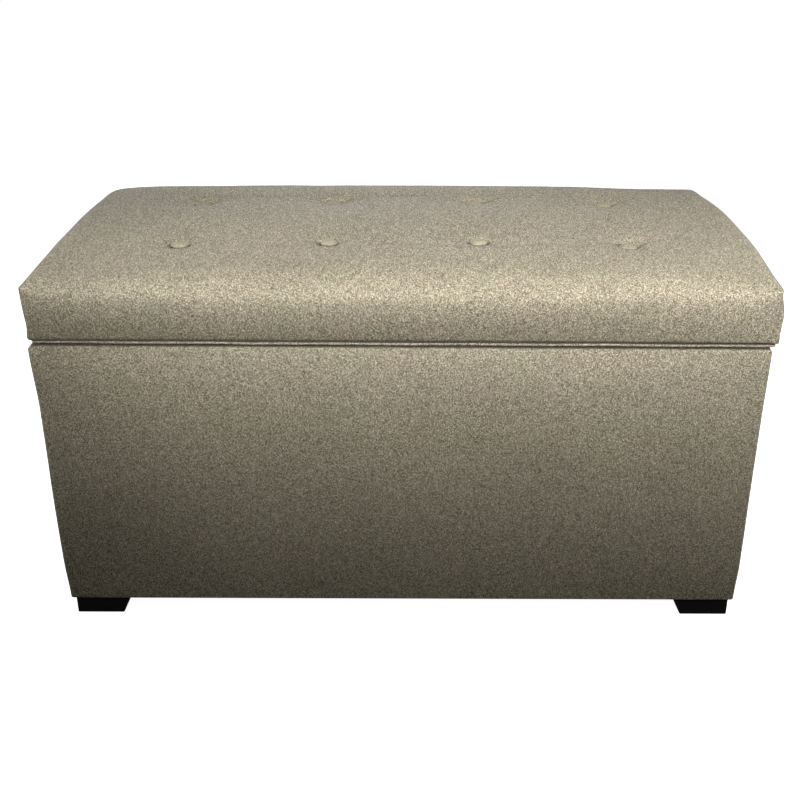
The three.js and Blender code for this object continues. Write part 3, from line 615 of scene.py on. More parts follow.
def make_cushion():
    """The lid's fabric: stretched over the foam, tufted, and turned in under the board."""
    grid, faces, points, (steps_x, steps_y) = cushion_surface(12 * MM, 3 * MM)
    cushion = new_object("lid_cushion", points, faces)
    i, j, k = grid.T
    x, y, _ = points.T
    pinned = (k <= 1) | (((i == 0) | (i == steps_x)) & ((j == 0) | (j == steps_y)))
    for bx, by in BUTTON_PLACES:
        pinned |= (k == SIDE_STEPS) & (np.hypot(x - bx, y - by) < BUTTON_RADIUS + 6 * MM)
    settle(cushion, pinned, pressure=0.6, cap=0.9 * MM)

    # The underside is open over the board, apart from the fabric turned in round its edge.
    x, y, _ = np.abs(positions(cushion)).T
    open_part = (k == 0) & (x < LID_HALF_X - COVER_RETURN) & (y < LID_HALF_Y - COVER_RETURN)
    trimmed = bmesh.new()
    trimmed.from_mesh(cushion.data)
    trimmed.verts.ensure_lookup_table()
    unwanted = [trimmed.verts[int(n)] for n in np.nonzero(open_part)[0]]
    bmesh.ops.delete(trimmed, geom=unwanted, context="VERTS")
    trimmed.to_mesh(cushion.data)
    trimmed.free()
    subdivide(cushion)

    # Small folds from the buttons, with shade painted in their creases, round the buttons and in the seam.
    fine = positions(cushion)
    on_top = fine[:, 2] > EDGE_TOP - 30 * MM
    surface = fine[on_top]
    painted_shade = np.zeros(len(fine))
    fold_start = 11 * MM  # from the button's middle
    for number, degrees, length, depth in BUTTON_FOLDS:
        heading = math.radians(degrees)
        bx, by = BUTTON_PLACES[number]
        rim_x, rim_y = fold_start * math.cos(heading), fold_start * math.sin(heading)
        start = (bx + rim_x, by + rim_y - 2 * MM)
        painted_shade[on_top] += pleat(surface, start, heading, length * MM, depth * MM, 2.4 * MM)
    fine[on_top] = surface
    # Painted shade in the well round each button's rim.
    for bx, by in BUTTON_PLACES:
        from_rim = np.hypot(fine[:, 0] - bx, fine[:, 1] - by) - BUTTON_RADIUS
        painted_shade += on_top * (1 - smoothstep(0.9 * MM, 2.6 * MM, from_rim))
    # Painted shade on the hem just above the seam.
    above_seam = fine[:, 2] - LID_LOW.z - SEAM_GAP - seam_lift(fine[:, 0], fine[:, 1])
    painted_shade += 0.85 * (1 - smoothstep(0.2 * MM, 2.4 * MM, above_seam))
    paint_fold_shade(cushion, painted_shade)

    # Slow undulations, as foam under stretched cloth has them.
    slow = lattice_noise(fine / (130 * MM) + 7.3, 11)
    slower = lattice_noise(fine / (55 * MM) + 3.1, 12)
    lift = smoothstep(LID_LOW.z, EDGE_TOP, fine[:, 2])
    at_front_or_back = np.abs(fine[:, 1]) > LID_HALF_Y - 12 * MM
    fine[:, 2] += lift * (0.9 * slow + 0.35 * slower) * MM
    fine[:, 1] += at_front_or_back * (0.7 * slow + 0.3 * slower) * MM
    set_positions(cushion, fine)
    thicken(cushion, CLOTH)
    cushion.data.transform(TO_MIDDLE)
    finish_piece(cushion, "upholstery", "lid", "lid_cover")


def make_seat_foam():
    """The foam block, which fills the cover."""
    _, faces, points, _ = cushion_surface(22 * MM, 9 * MM, inset=6 * MM, bottom=FOAM_BOTTOM)
    foam_block = new_object("seat_foam_block", points, faces)
    foam_block.data.transform(TO_MIDDLE)
    finish_piece(foam_block, "foam", "lid", "seat_foam")


# ------------------------------------------------------------------ materials


class Nodes:
    """Builds one node material: a short way to add and link its nodes."""

    def __init__(self, name):
        self.material = bpy.data.materials.new(name)
        self.material.use_nodes = True
        self.tree = self.material.node_tree
        self.shader = self.tree.nodes["Principled BSDF"]

    def add(self, kind, inputs=None, **settings):
        node = self.tree.nodes.new(kind)
        for key, value in settings.items():
            setattr(node, key, value)
        for key, value in (inputs or {}).items():
            self.feed(node, key, value)
        return node

    def feed(self, node, key, value):
        if isinstance(value, bpy.types.NodeSocket):
            self.tree.links.new(value, node.inputs[key])
        else:
            node.inputs[key].default_value = value

    def shade(self, inputs):
        """Feeds the shader itself, and gives the finished material."""
        for key, value in inputs.items():
            self.feed(self.shader, key, value)
        return self.material

    def place(self):
        return self.add("ShaderNodeTexCoord").outputs["Object"]

    def math(self, operation, first, second=0.0):
        return self.add("ShaderNodeMath", {0: first, 1: second}, operation=operation).outputs[0]

    def scaled(self, value, factor, offset=0.0):
        product = self.math("MULTIPLY", value, factor)
        return self.math("ADD", offset, product) if offset else product

    def mix(self, share, first, second):
        node = self.add("ShaderNodeMix", {"Factor": share}, data_type="FLOAT")
        self.feed(node, 2, first)
        self.feed(node, 3, second)
        return node.outputs[0]

    def mix_colour(self, share, first, second, blend="MIX"):
        node = self.add("ShaderNodeMix", {"Factor": share}, data_type="RGBA", blend_type=blend)
        self.feed(node, 6, first)
        self.feed(node, 7, second)
        return node.outputs[2]

    def noise(self, vector, scale, detail=2.0, roughness=0.5, distortion=0.0):
        inputs = {"Vector": vector, "Scale": scale, "Detail": detail}
        inputs.update({"Roughness": roughness, "Distortion": distortion})
        return self.add("ShaderNodeTexNoise", inputs).outputs["Fac"]

    def stretched(self, vector, *scales):
        return self.add("ShaderNodeMapping", {"Vector": vector, "Scale": scales}).outputs["Vector"]

    def ramp(self, factor, stops):
        node = self.add("ShaderNodeValToRGB", {"Fac": factor})
        ramp = node.color_ramp
        while len(ramp.elements) < len(stops):
            ramp.elements.new(0.5)
        for element, (place, colour) in zip(ramp.elements, stops):
            element.position = place
            element.color = colour
        return node.outputs["Color"]

    def bump(self, height, strength, distance):
        inputs = {"Height": height, "Strength": strength, "Distance": distance}
        return self.add("ShaderNodeBump", inputs).outputs["Normal"]

    def cell_value(self, vector):
        """A random value for each unit cell of the given coordinates."""
        cell = self.add("ShaderNodeVectorMath", {0: vector}, operation="FLOOR").outputs[0]
        return self.add("ShaderNodeTexWhiteNoise", {"Vector": cell}, noise_dimensions="3D").outputs["Value"]

    def pillows(self, vector):
        """A rounded rise over each unit cell of the given coordinates, as a yarn has at each crossing."""
        spot = self.add("ShaderNodeSeparateXYZ", {0: vector})
        waves = []
        for axis in ("X", "Y"):
            wave = self.math("SINE", self.math("MULTIPLY", spot.outputs[axis], math.pi))
            waves.append(self.math("ABSOLUTE", wave))
        return self.math("MULTIPLY", *waves)

    def cloth_plane(self, squeeze=1.0):
        """Coordinates across and along the cloth: x or y across, and down the slope along. The flat
        run along y is squeezed by the given share."""
        place = self.add("ShaderNodeTexCoord")
        spot = self.add("ShaderNodeSeparateXYZ", {0: place.outputs["Object"]})
        facing = self.add("ShaderNodeSeparateXYZ", {0: place.outputs["Normal"]})
        sideways = self.math("GREATER_THAN", self.math("ABSOLUTE", facing.outputs["X"]), 0.72)
        flat_run = self.math("MULTIPLY", spot.outputs["Y"], squeeze)
        slope = self.math("ADD", flat_run, spot.outputs["Z"])
        across = self.mix(sideways, spot.outputs["X"], spot.outputs["Y"])
        along = self.mix(sideways, slope, spot.outputs["Z"])
        return self.add("ShaderNodeCombineXYZ", {"X": across, "Y": along}).outputs[0]


def grey(level):
    return (level, level, level, 1)


def upholstery_material(name, contrast, lightness):
    """A heathered greige weave: every crossing of the yarns has its own shade, from dark to cream."""
    made = Nodes(name)
    plane = made.cloth_plane(0.5)
    place = made.place()
    wander = made.add("ShaderNodeTexNoise", {"Vector": place, "Scale": 120.0, "Detail": 1.0})
    sway = {0: wander.outputs["Color"], 1: (0.0016, 0.0016, 0), 2: plane}
    bent = made.add("ShaderNodeVectorMath", sway, operation="MULTIPLY_ADD").outputs[0]
    crossings = made.stretched(bent, 1500, 1250, 1)  # yarns to the metre, across and along
    fine = made.cell_value(crossings)
    soft = made.noise(made.stretched(plane, 260, 150, 1), 1.0, 2.0, 0.6)
    yarns = made.math("ADD", made.scaled(fine, 0.94), made.scaled(soft, 0.06))
    mean = 0.26  # the level that contrast leaves alone
    stops = []
    for spot, level in ((0.04, 0.050), (0.34, 0.150), (0.66, 0.330), (1.00, 0.780)):
        level = lightness * mean * (level / mean) ** contrast
        yellow = 0.765 - 0.12 * (1 - spot)
        stops.append((spot, (1.13 * level, level, yellow * level, 1)))
    colour = made.ramp(yarns, stops)
    mottle = made.noise(place, 22.0)
    warm = made.ramp(mottle, [(0.35, (0.985, 1.0, 0.975, 1)), (0.65, (1.015, 0.993, 1.0, 1))])
    colour = made.mix_colour(1.0, colour, warm, "MULTIPLY")
    cloud = made.ramp(made.noise(place, 6.5), [(0.3, grey(0.95)), (0.7, grey(1.04))])
    colour = made.mix_colour(1.0, colour, cloud, "MULTIPLY")
    # Painted shade: the colour is mixed towards near black where a piece stores shade at its points.
    fold = made.add("ShaderNodeAttribute", attribute_name="painted_fold_shade").outputs["Fac"]
    painted_shade_colour = (0.02, 0.017, 0.012, 1)
    relief = made.math("ADD", fine, made.scaled(made.pillows(crossings), 0.4))
    return made.shade({
        "Base Color": made.mix_colour(made.scaled(fold, 0.85), colour, painted_shade_colour),
        "Roughness": made.scaled(yarns, 0.2, 0.5),
        "Normal": made.bump(relief, 1.0, 0.0004),
        "Specular IOR Level": 0.3,
        "Sheen Weight": 0.12,
        "Sheen Roughness": 0.38,
        "Sheen Tint": (1.0, 0.95, 0.9, 1),
    })


def lining_material():
    """A plain dark weave."""
    made = Nodes("lining_cloth")
    plane = made.cloth_plane()
    warp = made.noise(made.stretched(plane, 900, 225, 1), 1.0, 1.0)
    weft = made.noise(made.stretched(plane, 225, 900, 1), 1.0, 1.0)
    threads = made.scaled(made.math("ADD", warp, weft), 0.5)
    return made.shade({
        "Base Color": made.ramp(threads, [(0.38, grey(0.012)), (0.62, (0.035, 0.032, 0.030, 1))]),
        "Normal": made.bump(threads, 0.4, 0.0004),
        "Roughness": 0.85,
        "Specular IOR Level": 0.2,
        "Sheen Weight": 0.15,
    })


def fibre_material(name, dark, light, scale):
    """Matted fibres or open cells: spun cloth, wadding and foam."""
    made = Nodes(name)
    strands = made.noise(made.place(), scale, 3.0, 0.7, 1.2)
    return made.shade({
        "Base Color": made.ramp(strands, [(0.35, dark), (0.65, light)]),
        "Normal": made.bump(strands, 0.5, 0.0008),
        "Roughness": 0.95,
        "Specular IOR Level": 0.1,
    })


def plywood_material():
    made = Nodes("plywood")
    place = made.place()
    grain = made.noise(made.stretched(place, 6, 60, 60), 1.0, 4.0, 0.6, 0.8)
    pores = made.noise(made.stretched(place, 40, 900, 900), 1.0, 1.0)
    stops = [(0.3, (0.36, 0.22, 0.11, 1)), (0.55, (0.56, 0.39, 0.22, 1)), (0.8, (0.66, 0.49, 0.31, 1))]
    specks = made.ramp(pores, [(0.4, grey(0.2)), (0.6, grey(0.9))])
    return made.shade({
        "Base Color": made.mix_colour(0.25, made.ramp(grain, stops), specks, "MULTIPLY"),
        "Normal": made.bump(pores, 0.25, 0.0003),
        "Roughness": 0.6,
    })


def lacquer_material():
    """Black satin lacquer over close-grained wood."""
    made = Nodes("black_lacquer")
    place = made.place()
    grain = made.noise(made.stretched(place, 70, 70, 900), 1.0, 3.0, 0.6, 0.4)
    dust = made.noise(place, 260.0)
    blacks = [(0.35, (0.006, 0.0055, 0.006, 1)), (0.7, (0.016, 0.013, 0.013, 1))]
    return made.shade({
        "Base Color": made.ramp(grain, blacks),
        "Roughness": made.scaled(dust, 0.16, 0.3),
        "Normal": made.bump(grain, 0.12, 0.0003),
        "Coat Weight": 0.35,
        "Coat Roughness": 0.25,
    })


def steel_material():
    """Zinc plated steel: a fine spangle and faint scratches."""
    made = Nodes("zinc_plated_steel")
    place = made.place()
    spangle = made.noise(place, 190.0, 2.0, 0.6)
    scratches = made.noise(made.stretched(place, 60, 2400, 2400), 1.0, 1.0)
    zincs = [(0.35, (0.44, 0.44, 0.42, 1)), (0.65, (0.62, 0.62, 0.60, 1))]
    return made.shade({
        "Base Color": made.ramp(spangle, zincs),
        "Roughness": made.scaled(spangle, 0.2, 0.24),
        "Normal": made.bump(scratches, 0.08, 0.0002),
        "Metallic": 1.0,
    })


def floor_material():
    """A pale, evenly lit sweep."""
    made = Nodes("pale_floor")
    colour = made.ramp(made.noise(made.place(), 3.0), [(0.3, grey(0.97)), (0.7, grey(0.98))])
    return made.shade({
        "Base Color": colour,
        "Emission Color": colour,
        "Emission Strength": 1.0,
        "Roughness": 0.9,
        "Specular IOR Level": 0.0,
    })


# Painted light: the buttons' cloth is the same weave made lighter and lower in contrast, for the light on
# their domes.
button_cloth_painted_lighter = upholstery_material("greige_weave_painted_lighter", 0.35, 1.38)
CAD_FINISH = {
    "upholstery": upholstery_material("greige_weave", 0.95, 1.14),
    "lining": lining_material(),
    "dust_cover": fibre_material("black_spun_cloth", grey(0.006), grey(0.02), 700.0),
    "wadding": fibre_material("wadding", (0.66, 0.65, 0.62, 1), (0.86, 0.85, 0.82, 1), 320.0),
    "foam": fibre_material("foam", (0.62, 0.55, 0.36, 1), (0.80, 0.74, 0.54, 1), 520.0),
    "plywood": plywood_material(),
    "black_feet": lacquer_material(),
    "steel": steel_material(),
}


def paint(obj, material):
    obj.data.materials.clear()
    obj.data.materials.append(material)


def finish_cad_nodes():
    for part in frame["record"]["subparts"]:
        paint(frame["nodes"][part["node"]], CAD_FINISH[part["material_slot"]])


def finish_piece(piece, slot, body, node, material=None):
    """Gives a piece its material, hides the CAD node that it replaces, and hangs the piece on the body that
    it rides on.
    """
    paint(piece, material or CAD_FINISH[slot])
    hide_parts(node)
    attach(piece, body)


# ------------------------------------------------------------------ body cover


def body_cover_profile(low, high):
    """The wall's section as (inset from the outer face, height): turned in under the box, up the outer
    face, over the rim and down inside it."""
    wall = 25.8 * MM  # from the outer face to the storage space
    drop = 24 * MM  # how far it goes down inside
    rim = 2.2 * MM  # roundings
    foot = 2.5 * MM
    inner = 4 * MM
    wall_rows = 24
    profile = [(25 * MM, low), (15 * MM, low), (foot + 3 * MM, low)]
    profile += arc((foot, low + foot), foot, -math.pi / 2, -math.pi / 2, 4)
    bottom, top = low + foot, high - rim
    profile += [(0.0, bottom + (top - bottom) * row / wall_rows) for row in range(1, wall_rows)]
    profile += arc((rim, top), rim, math.pi, -math.pi / 2, 5)
    profile.append(((rim + wall - inner) / 2, high))
    profile += arc((wall - inner, high - inner), inner, math.pi / 2, -math.pi / 2, 3)
    return profile + [(wall, high - drop / 2), (wall, high - drop)]


def make_body_cover():
    """Four padded walls in one, with near-square corners and gently swollen panels."""
    low, high = BODY_LOW.z, BODY_HIGH.z
    profile = body_cover_profile(low, high)
    corner = 3.5 * MM
    spacing = 16 * MM
    outline = rounded_outline(BODY_HALF_X, BODY_HALF_Y, corner, spacing, 4)
    vertices = []
    for inset, height in profile:
        half_x = BODY_HALF_X - inset
        half_y = BODY_HALF_Y - inset
        shrunk = rounded_outline(half_x, half_y, max(corner - inset, 0.5 * MM), spacing, 4)
        if len(shrunk) != len(outline):
            shrunk = [(x * half_x / BODY_HALF_X, y * half_y / BODY_HALF_Y) for x, y in outline]
        vertices += [(x, y, height) for x, y in shrunk]
    cover = new_object("body_upholstery", vertices, ring_faces(len(profile), len(outline)))
    subdivide(cover)

    # The panels' swell, in millimetres: fullest under the top edge, and none at the edges.
    points = positions(cover)
    x, y, z = points.T
    share_x, share_y = x / BODY_HALF_X, y / BODY_HALF_Y
    edge = 8 * MM
    left, right = (smoothstep(BODY_HALF_X - edge, BODY_HALF_X, side * x) for side in (-1, 1))
    front = smoothstep(BODY_HALF_Y - edge, BODY_HALF_Y, -y)
    near_top = smoothstep(high - 85 * MM, high - 6 * MM, z)
    along_side = left * (2.6 + 3.2 * near_top) + right * (1.2 + 0.8 * near_top)
    fullest = 7.0 + 3.0 * smoothstep(0.5, 0.95, -share_x)
    below_top = np.clip((high - z) / (50 * MM), 0, 1)
    rolled = (1 - (1 - below_top) ** 2) * (1 - smoothstep(high - 60 * MM, low, z))
    along_front = front * fullest * rolled * (1 - share_x**8)
    slow = lattice_noise(points / (150 * MM) + 1.7, 21)
    quick = lattice_noise(points / (60 * MM) + 5.9, 22)
    on_wall = smoothstep(low, low + 60 * MM, z) * (1 - smoothstep(high - 4 * MM, high, z))
    outer = np.maximum(np.abs(share_x), np.abs(share_y)) > 0.97
    swell = on_wall * outer * (0.7 * slow + 0.3 * quick + 0.5 + along_side + along_front) * MM
    points += point_normals(cover) * swell[:, None]

    # Shade is painted on the rim's top where it meets the seam, and the rim follows the seam's lift.
    paint_fold_shade(cover, 0.85 * smoothstep(high - 1.8 * MM, high - 0.2 * MM, points[:, 2]))
    lift = seam_lift(points[:, 0], points[:, 1])
    points[:, 2] += lift * smoothstep(high - 40 * MM, high, points[:, 2])
    set_positions(cover, points)
    thicken(cover, CLOTH)
    cover.data.transform(TO_MIDDLE)
    finish_piece(cover, "upholstery", "body", "body_cover")


# ------------------------------------------------------------------ piping


def piping_path(left_x, right_x, front, back, jut):
    """The cord's middle as (x, y, heading): forward on the left, across the front, back on the right."""
    corner = 4 * MM
    side_steps, front_steps, corner_steps = 44, 92, 8
    path = []
    for step in range(side_steps):
        path.append((left_x, back + (front + corner - back) * step / side_steps, -math.pi / 2))
    for step in range(corner_steps):
        turn = math.pi / 2 * step / corner_steps
        x = left_x + corner * (1 - math.cos(turn))
        y = front + corner * (1 - math.sin(turn))
        path.append((x, y, turn - math.pi / 2))
    left_half = list(path)
    for step in range(front_steps + 1):
        share = step / front_steps
        path.append((left_x + corner + (right_x - left_x - 2 * corner) * share, front, 0.0))
    # Behind the right front corner the cord draws in again to the body's side.
    for x, y, heading in reversed(left_half):
        drawn_in = jut * smoothstep(front + corner, front + 120 * MM, y)
        path.append((right_x + left_x - x - drawn_in, y, -heading))
    return path


def make_piping():
    """A covered cord sewn into the seam, with its flat seam allowance, round the front and sides."""
    radius = 1.8 * MM
    centre_z = PIPING_LOW.z + 3.2 * MM
    jut = 6.5 * MM  # how far it stands out at the right front corner
    left_x = PIPING_LOW.x + radius - 0.6 * MM
    right_x = PIPING_HIGH.x - radius + jut
    path = piping_path(left_x, right_x, PIPING_LOW.y + radius, PIPING_HIGH.y, jut)

    # The section, from the lip's inner edge, round the cord and back: (out from the centre, up).
    lip_width = 13 * MM
    lip_up = PIPING_HIGH.z - 0.5 * MM - centre_z
    section = [(-lip_width, lip_up + 0.4 * MM), (-lip_width / 2, lip_up + 0.5 * MM)]
    section += arc((0, 0), radius, math.radians(125), math.radians(-310), 12)
    section += [(-lip_width / 2, lip_up - 0.4 * MM), (-lip_width, lip_up - 0.5 * MM)]
    vertices = []
    painted_cord_shade = []
    for number, (x, y, heading) in enumerate(path):
        out_x, out_y = math.sin(heading), -math.cos(heading)
        wave = 0.21 * math.sin(number * 0.37) + 0.18 * math.sin(number * 0.11 + 1.0)
        rise = wave * MM + float(seam_lift(x, y - MID_Y))
        for out, up in section:
            outside = max(0.0, min(1.0, 1 + out / lip_width))
            vertices.append((x + out_x * out, y + out_y * out, centre_z + up + rise * outside))
            # Painted shade on the cord's top, bottom and inner side, and on the lip.
            painted_cord_shade.append(1.0 if abs(up) > 0.8 * radius or out < 0 else 0.0)
    width = len(section)
    faces = ring_faces(len(path), width, turned=True)
    faces.append(tuple(range(width)))
    faces.append(tuple((len(path) - 1) * width + step for step in reversed(range(width))))
    cord = new_object("seam_piping", vertices, faces)
    outwards = bmesh.new()
    outwards.from_mesh(cord.data)
    bmesh.ops.recalc_face_normals(outwards, faces=outwards.faces)
    outwards.to_mesh(cord.data)
    outwards.free()
    paint_fold_shade(cord, painted_cord_shade)
    finish_piece(cord, "upholstery", "lid", "lid_piping")


# ------------------------------------------------------------------ buttons


def make_buttons():
    """Covered buttons: a low dome of the same cloth, gathered under its rim, on twine to a knot."""
    dome = 5.8 * MM
    skirt = 1.5 * MM  # the dome's upright rim
    knot = in_mm((0, 0), (2.4, 0), (3, 0.5), (2.2, 1.4), (1.0, 1.8))
    underside = in_mm((1.0, 0), (7.5, 0), (10, 0.1), (11.1, 0.7))
    for number, (low, high) in enumerate(BUTTON_BOXES, start=1):
        seat = high.z - 6 * MM
        profile = [(radius, low.z + up) for radius, up in knot]
        profile += [(radius, seat + up) for radius, up in underside]
        profile.append((BUTTON_RADIUS, seat + skirt))
        for step in range(1, 8):
            share = 1 - step / 8
            profile.append((BUTTON_RADIUS * share**0.9, seat + skirt + (dome - skirt) * (1 - share**2.6)))
        profile.append((0, seat + dome))
        x, y, _ = (low + high) / 2
        button = turned_piece(f"covered_button_{number}", profile, Matrix.Translation((x, y, 0)), 40)
        points = positions(button)
        around = np.arctan2(points[:, 1] - y, points[:, 0] - x)
        near_rim = smoothstep(6 * MM, 11 * MM, np.hypot(points[:, 0] - x, points[:, 1] - y))
        gathers = np.sin(around * 13 + number) * 0.5 + np.sin(around * 7 + 2 * number) * 0.5
        points[:, 2] += near_rim * gathers * 0.22 * MM
        # Above the board the twine gives, so the button drifts and sinks.
        freed = smoothstep(BOARD_HIGH.z, seat - 2 * MM, points[:, 2])
        points[:, 0] += BUTTON_DRIFTS[number - 1] * freed
        points[:, 2] -= BUTTON_SINKS[number - 1] * freed
        set_positions(button, points)
        # The buttons take the weave painted lighter, as painted light.
        finish_piece(button, "upholstery", "lid", f"tufting_button_{number}", button_cloth_painted_lighter)


# ------------------------------------------------------------------ feet


def make_feet():
    """Low block feet: upright outside, slanted inside, edges eased, with the screw's recess below."""
    further_out = 2.5 * MM
    slant = 12 * MM
    deep = 40 * MM  # past the foot's top
    for place, side_x, side_y in CORNERS:
        low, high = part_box(f"{place}_foot")
        outer_x = (high.x if side_x > 0 else low.x) + side_x * further_out
        outer_y = (high.y if side_y > 0 else low.y) + side_y * further_out
        top_size = high.x - low.x
        block = bmesh.new()
        for height, size in ((low.z, top_size - slant), (high.z, top_size)):
            for share_x in (0, 1):
                for share_y in (0, 1):
                    x = outer_x - side_x * size * share_x
                    y = outer_y - side_y * size * share_y
                    block.verts.new((x, y, height))
        bmesh.ops.convex_hull(block, input=block.verts)
        bmesh.ops.dissolve_limit(block, angle_limit=0.01, verts=block.verts, edges=block.edges)
        bmesh.ops.recalc_face_normals(block, faces=block.faces)
        foot = object_from(f"{place}_block_foot", block)
        soften_edges(foot, 1.6 * MM, 3)
        recess = in_mm((0, -10), (8, -10), (8, 12), (3.1, 12)) + [(3.1 * MM, deep), (0, deep)]
        centre = middle(f"{place}_foot_screw")
        cut_out(foot, turned_piece("cutter", recess, Matrix.Translation((centre.x, centre.y, 0)), 32))
        finish_piece(foot, "black_feet", "body", f"{place}_foot")


# ------------------------------------------------------------------ linings


def fold_sheet(name, rings, spacing, folds):
    """An open sheet of cloth through rings of corner points, one above the other. Every run between
    two corners is divided evenly, alike in every ring."""
    counts = []
    corner_count = len(rings[0])
    for corner in range(corner_count):
        after = (corner + 1) % corner_count
        longest = max(math.dist(ring[corner], ring[after]) for ring in rings)
        counts.append(max(1, round(longest / spacing)))
    vertices = []
    for ring in rings:
        for corner, count in enumerate(counts):
            start = Vector(ring[corner])
            end = Vector(ring[(corner + 1) % corner_count])
            vertices += [start.lerp(end, step / count) for step in range(count)]
    width = sum(counts)
    faces = ring_faces(len(rings), width, turned=True) + [tuple(range(width))]
    return soften_edges(new_object(name, vertices, faces), folds)


def make_storage_lining():
    """Black cloth stapled round the storage space: a floor, four walls, and a boxed fold over each post."""
    thickness = 1.2 * MM
    gap = 0.3 * MM  # to the posts
    inner_x = LINING_HIGH.x - thickness
    low_y, high_y = LINING_LOW.y + thickness, LINING_HIGH.y - thickness
    post_x = POST_LOW.x - thickness - gap
    post_y = high_y - (inner_x - post_x)
    front_y = low_y + (high_y - post_y)
    floor_z = LINING_LOW.z + thickness
    shelf_z = POST_HIGH.z + thickness + gap
    notched = [
        (inner_x, post_y), (post_x, post_y), (post_x, high_y),
        (-post_x, high_y), (-post_x, post_y), (-inner_x, post_y),
        (-inner_x, front_y), (-post_x, front_y), (-post_x, low_y),
        (post_x, low_y), (post_x, front_y), (inner_x, front_y),
    ]
    square = list(notched)
    for number, side_x, y in ((1, 1, high_y), (4, -1, high_y), (7, -1, low_y), (10, 1, low_y)):
        square[number] = (side_x * inner_x, y)
    levels = 12
    rings = []
    for level in range(levels + 1):
        z = floor_z + (shelf_z - floor_z) * level / levels
        rings.append([(x, y, z) for x, y in notched])
    rings.append([(x, y, shelf_z) for x, y in square])
    rings.append([(x, y, LINING_HIGH.z) for x, y in square])
    lining = fold_sheet("storage_cloth_lining", rings, 24 * MM, 1.6 * MM)
    points = positions(lining)
    off_floor = smoothstep(floor_z, floor_z + 30 * MM, points[:, 2])
    slack = 0.35 * MM * lattice_noise(points / (70 * MM), 31) * off_floor
    set_positions(lining, points + point_normals(lining) * slack[:, None])
    thicken(lining, thickness)
    finish_piece(lining, "lining", "body", "storage_lining")


def make_flat_sheet(name, low, high, node, slot, body):
    """A stapled sheet, a little uneven between its staples."""
    spacing = 18 * MM
    sag = 0.12 * MM
    columns = round((high.x - low.x) / spacing)
    rows = round((high.y - low.y) / spacing)
    across = np.linspace(low.x, high.x, columns + 1)
    along = np.linspace(low.y, high.y, rows + 1)
    vertices = [(x, y, high.z) for y in along for x in across]
    stride = columns + 1
    corners = [row * stride + column for row in range(rows) for column in range(columns)]
    sheet = new_object(name, vertices, [(n, n + 1, n + stride + 1, n + stride) for n in corners])
    subdivide(sheet)
    points = positions(sheet)
    points[:, 2] += sag * (lattice_noise(points / (35 * MM), 41) - 1)
    set_positions(sheet, points)
    thicken(sheet, (high.z - low.z) * 0.85)
    finish_piece(sheet, slot, body, node)


# ------------------------------------------------------------------ hinge, stays and screws


def along_x(x, y, z):
    """Turns a piece made along Z to run along X from the given place."""
    return Matrix.Translation((x, y, z)) @ Matrix.Rotation(math.pi / 2, 4, "Y")


def upright(x, y, z, flip=False):
    turn = Matrix.Rotation(math.pi, 4, "X") if flip else Matrix.Identity(4)
    return Matrix.Translation((x, y, z)) @ turn


def eased_rod(radius, length, ease, bore=0.0):
    """The profile of a rod, disc or ring whose outer edges are eased."""
    side = [(radius - ease, 0), (radius, ease), (radius, length - ease), (radius - ease, length)]
    return [(bore, 0)] + side + [(bore, length)]


def make_screw(node, body, head_radius, head_height, shank_radius, length, matrix):
    """A pan head wood screw, point up, with its thread and a cross recess in the head."""
    pitch = 1.1 * MM
    crest = 0.25 * MM
    root = shank_radius - crest
    dome = [(0, -1), (0.5, -0.97), (0.82, -0.75), (0.97, -0.4), (1, -0.1), (1, 0)]
    profile = [(out * head_radius, up * head_height) for out, up in dome] + [(shank_radius, 0)]
    height = 2 * MM
    while height < length - 3 * shank_radius:
        profile += [(root, height), (shank_radius, height + pitch / 2)]
        height += pitch
    profile += [(root, height), (0, length)]
    screw = turned_piece(f"pan_{node}", profile, Matrix.Identity(4), 20)
    slot_high = Vector((0.5 * head_radius, 0.09 * head_radius, -0.45 * head_height))
    slot_low = Vector((-slot_high.x, -slot_high.y, -1.2 * head_height))
    for turn in (0, 1):
        cutter = box_piece("slot", slot_low, slot_high, 0.02 * MM, 1)
        cutter.data.transform(Matrix.Rotation(turn * math.pi / 2, 4, "Z"))
        cut_out(screw, cutter)
    screw.data.set_sharp_from_angle(angle=SHARP_ANGLE)
    screw.data.transform(matrix)
    finish_piece(screw, "steel", body, node)


def make_hinge_leaf(node, body, first, above):
    """One leaf with every other knuckle, from the first on. The lid's leaf is above the axis."""
    low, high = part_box(node)
    pin_low, pin_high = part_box("hinge_pin")
    axis = middle("hinge_pin")
    knuckles = 15
    pitch = (pin_high.x - pin_low.x) / knuckles
    gap = 0.2 * MM
    radius = 3.2 * MM
    near, far = 1.7 * MM, 2.9 * MM  # from the axis to the leaf's faces
    bottom, top = (axis.z + near, axis.z + far) if above else (axis.z - far, axis.z - near)
    leaf_end = axis.y - radius - gap
    parts = [box_piece("leaf", (low.x, low.y, bottom), (high.x, leaf_end, top), 0.25 * MM)]
    for index in range(first, knuckles, 2):
        start = pin_low.x + index * pitch + gap
        end = start + pitch - 2 * gap
        profile = eased_rod(radius, end - start, gap, bore=1.6 * MM)
        parts.append(turned_piece("knuckle", profile, along_x(start, axis.y, axis.z), 28, closed=True))
        web_low = (start, leaf_end - 0.4 * MM, bottom)
        parts.append(box_piece("web", web_low, (end, axis.y - 1.9 * MM, top), 0.1 * MM, 1))
    finish_piece(join(f"smooth_{node}", parts), "steel", body, node)


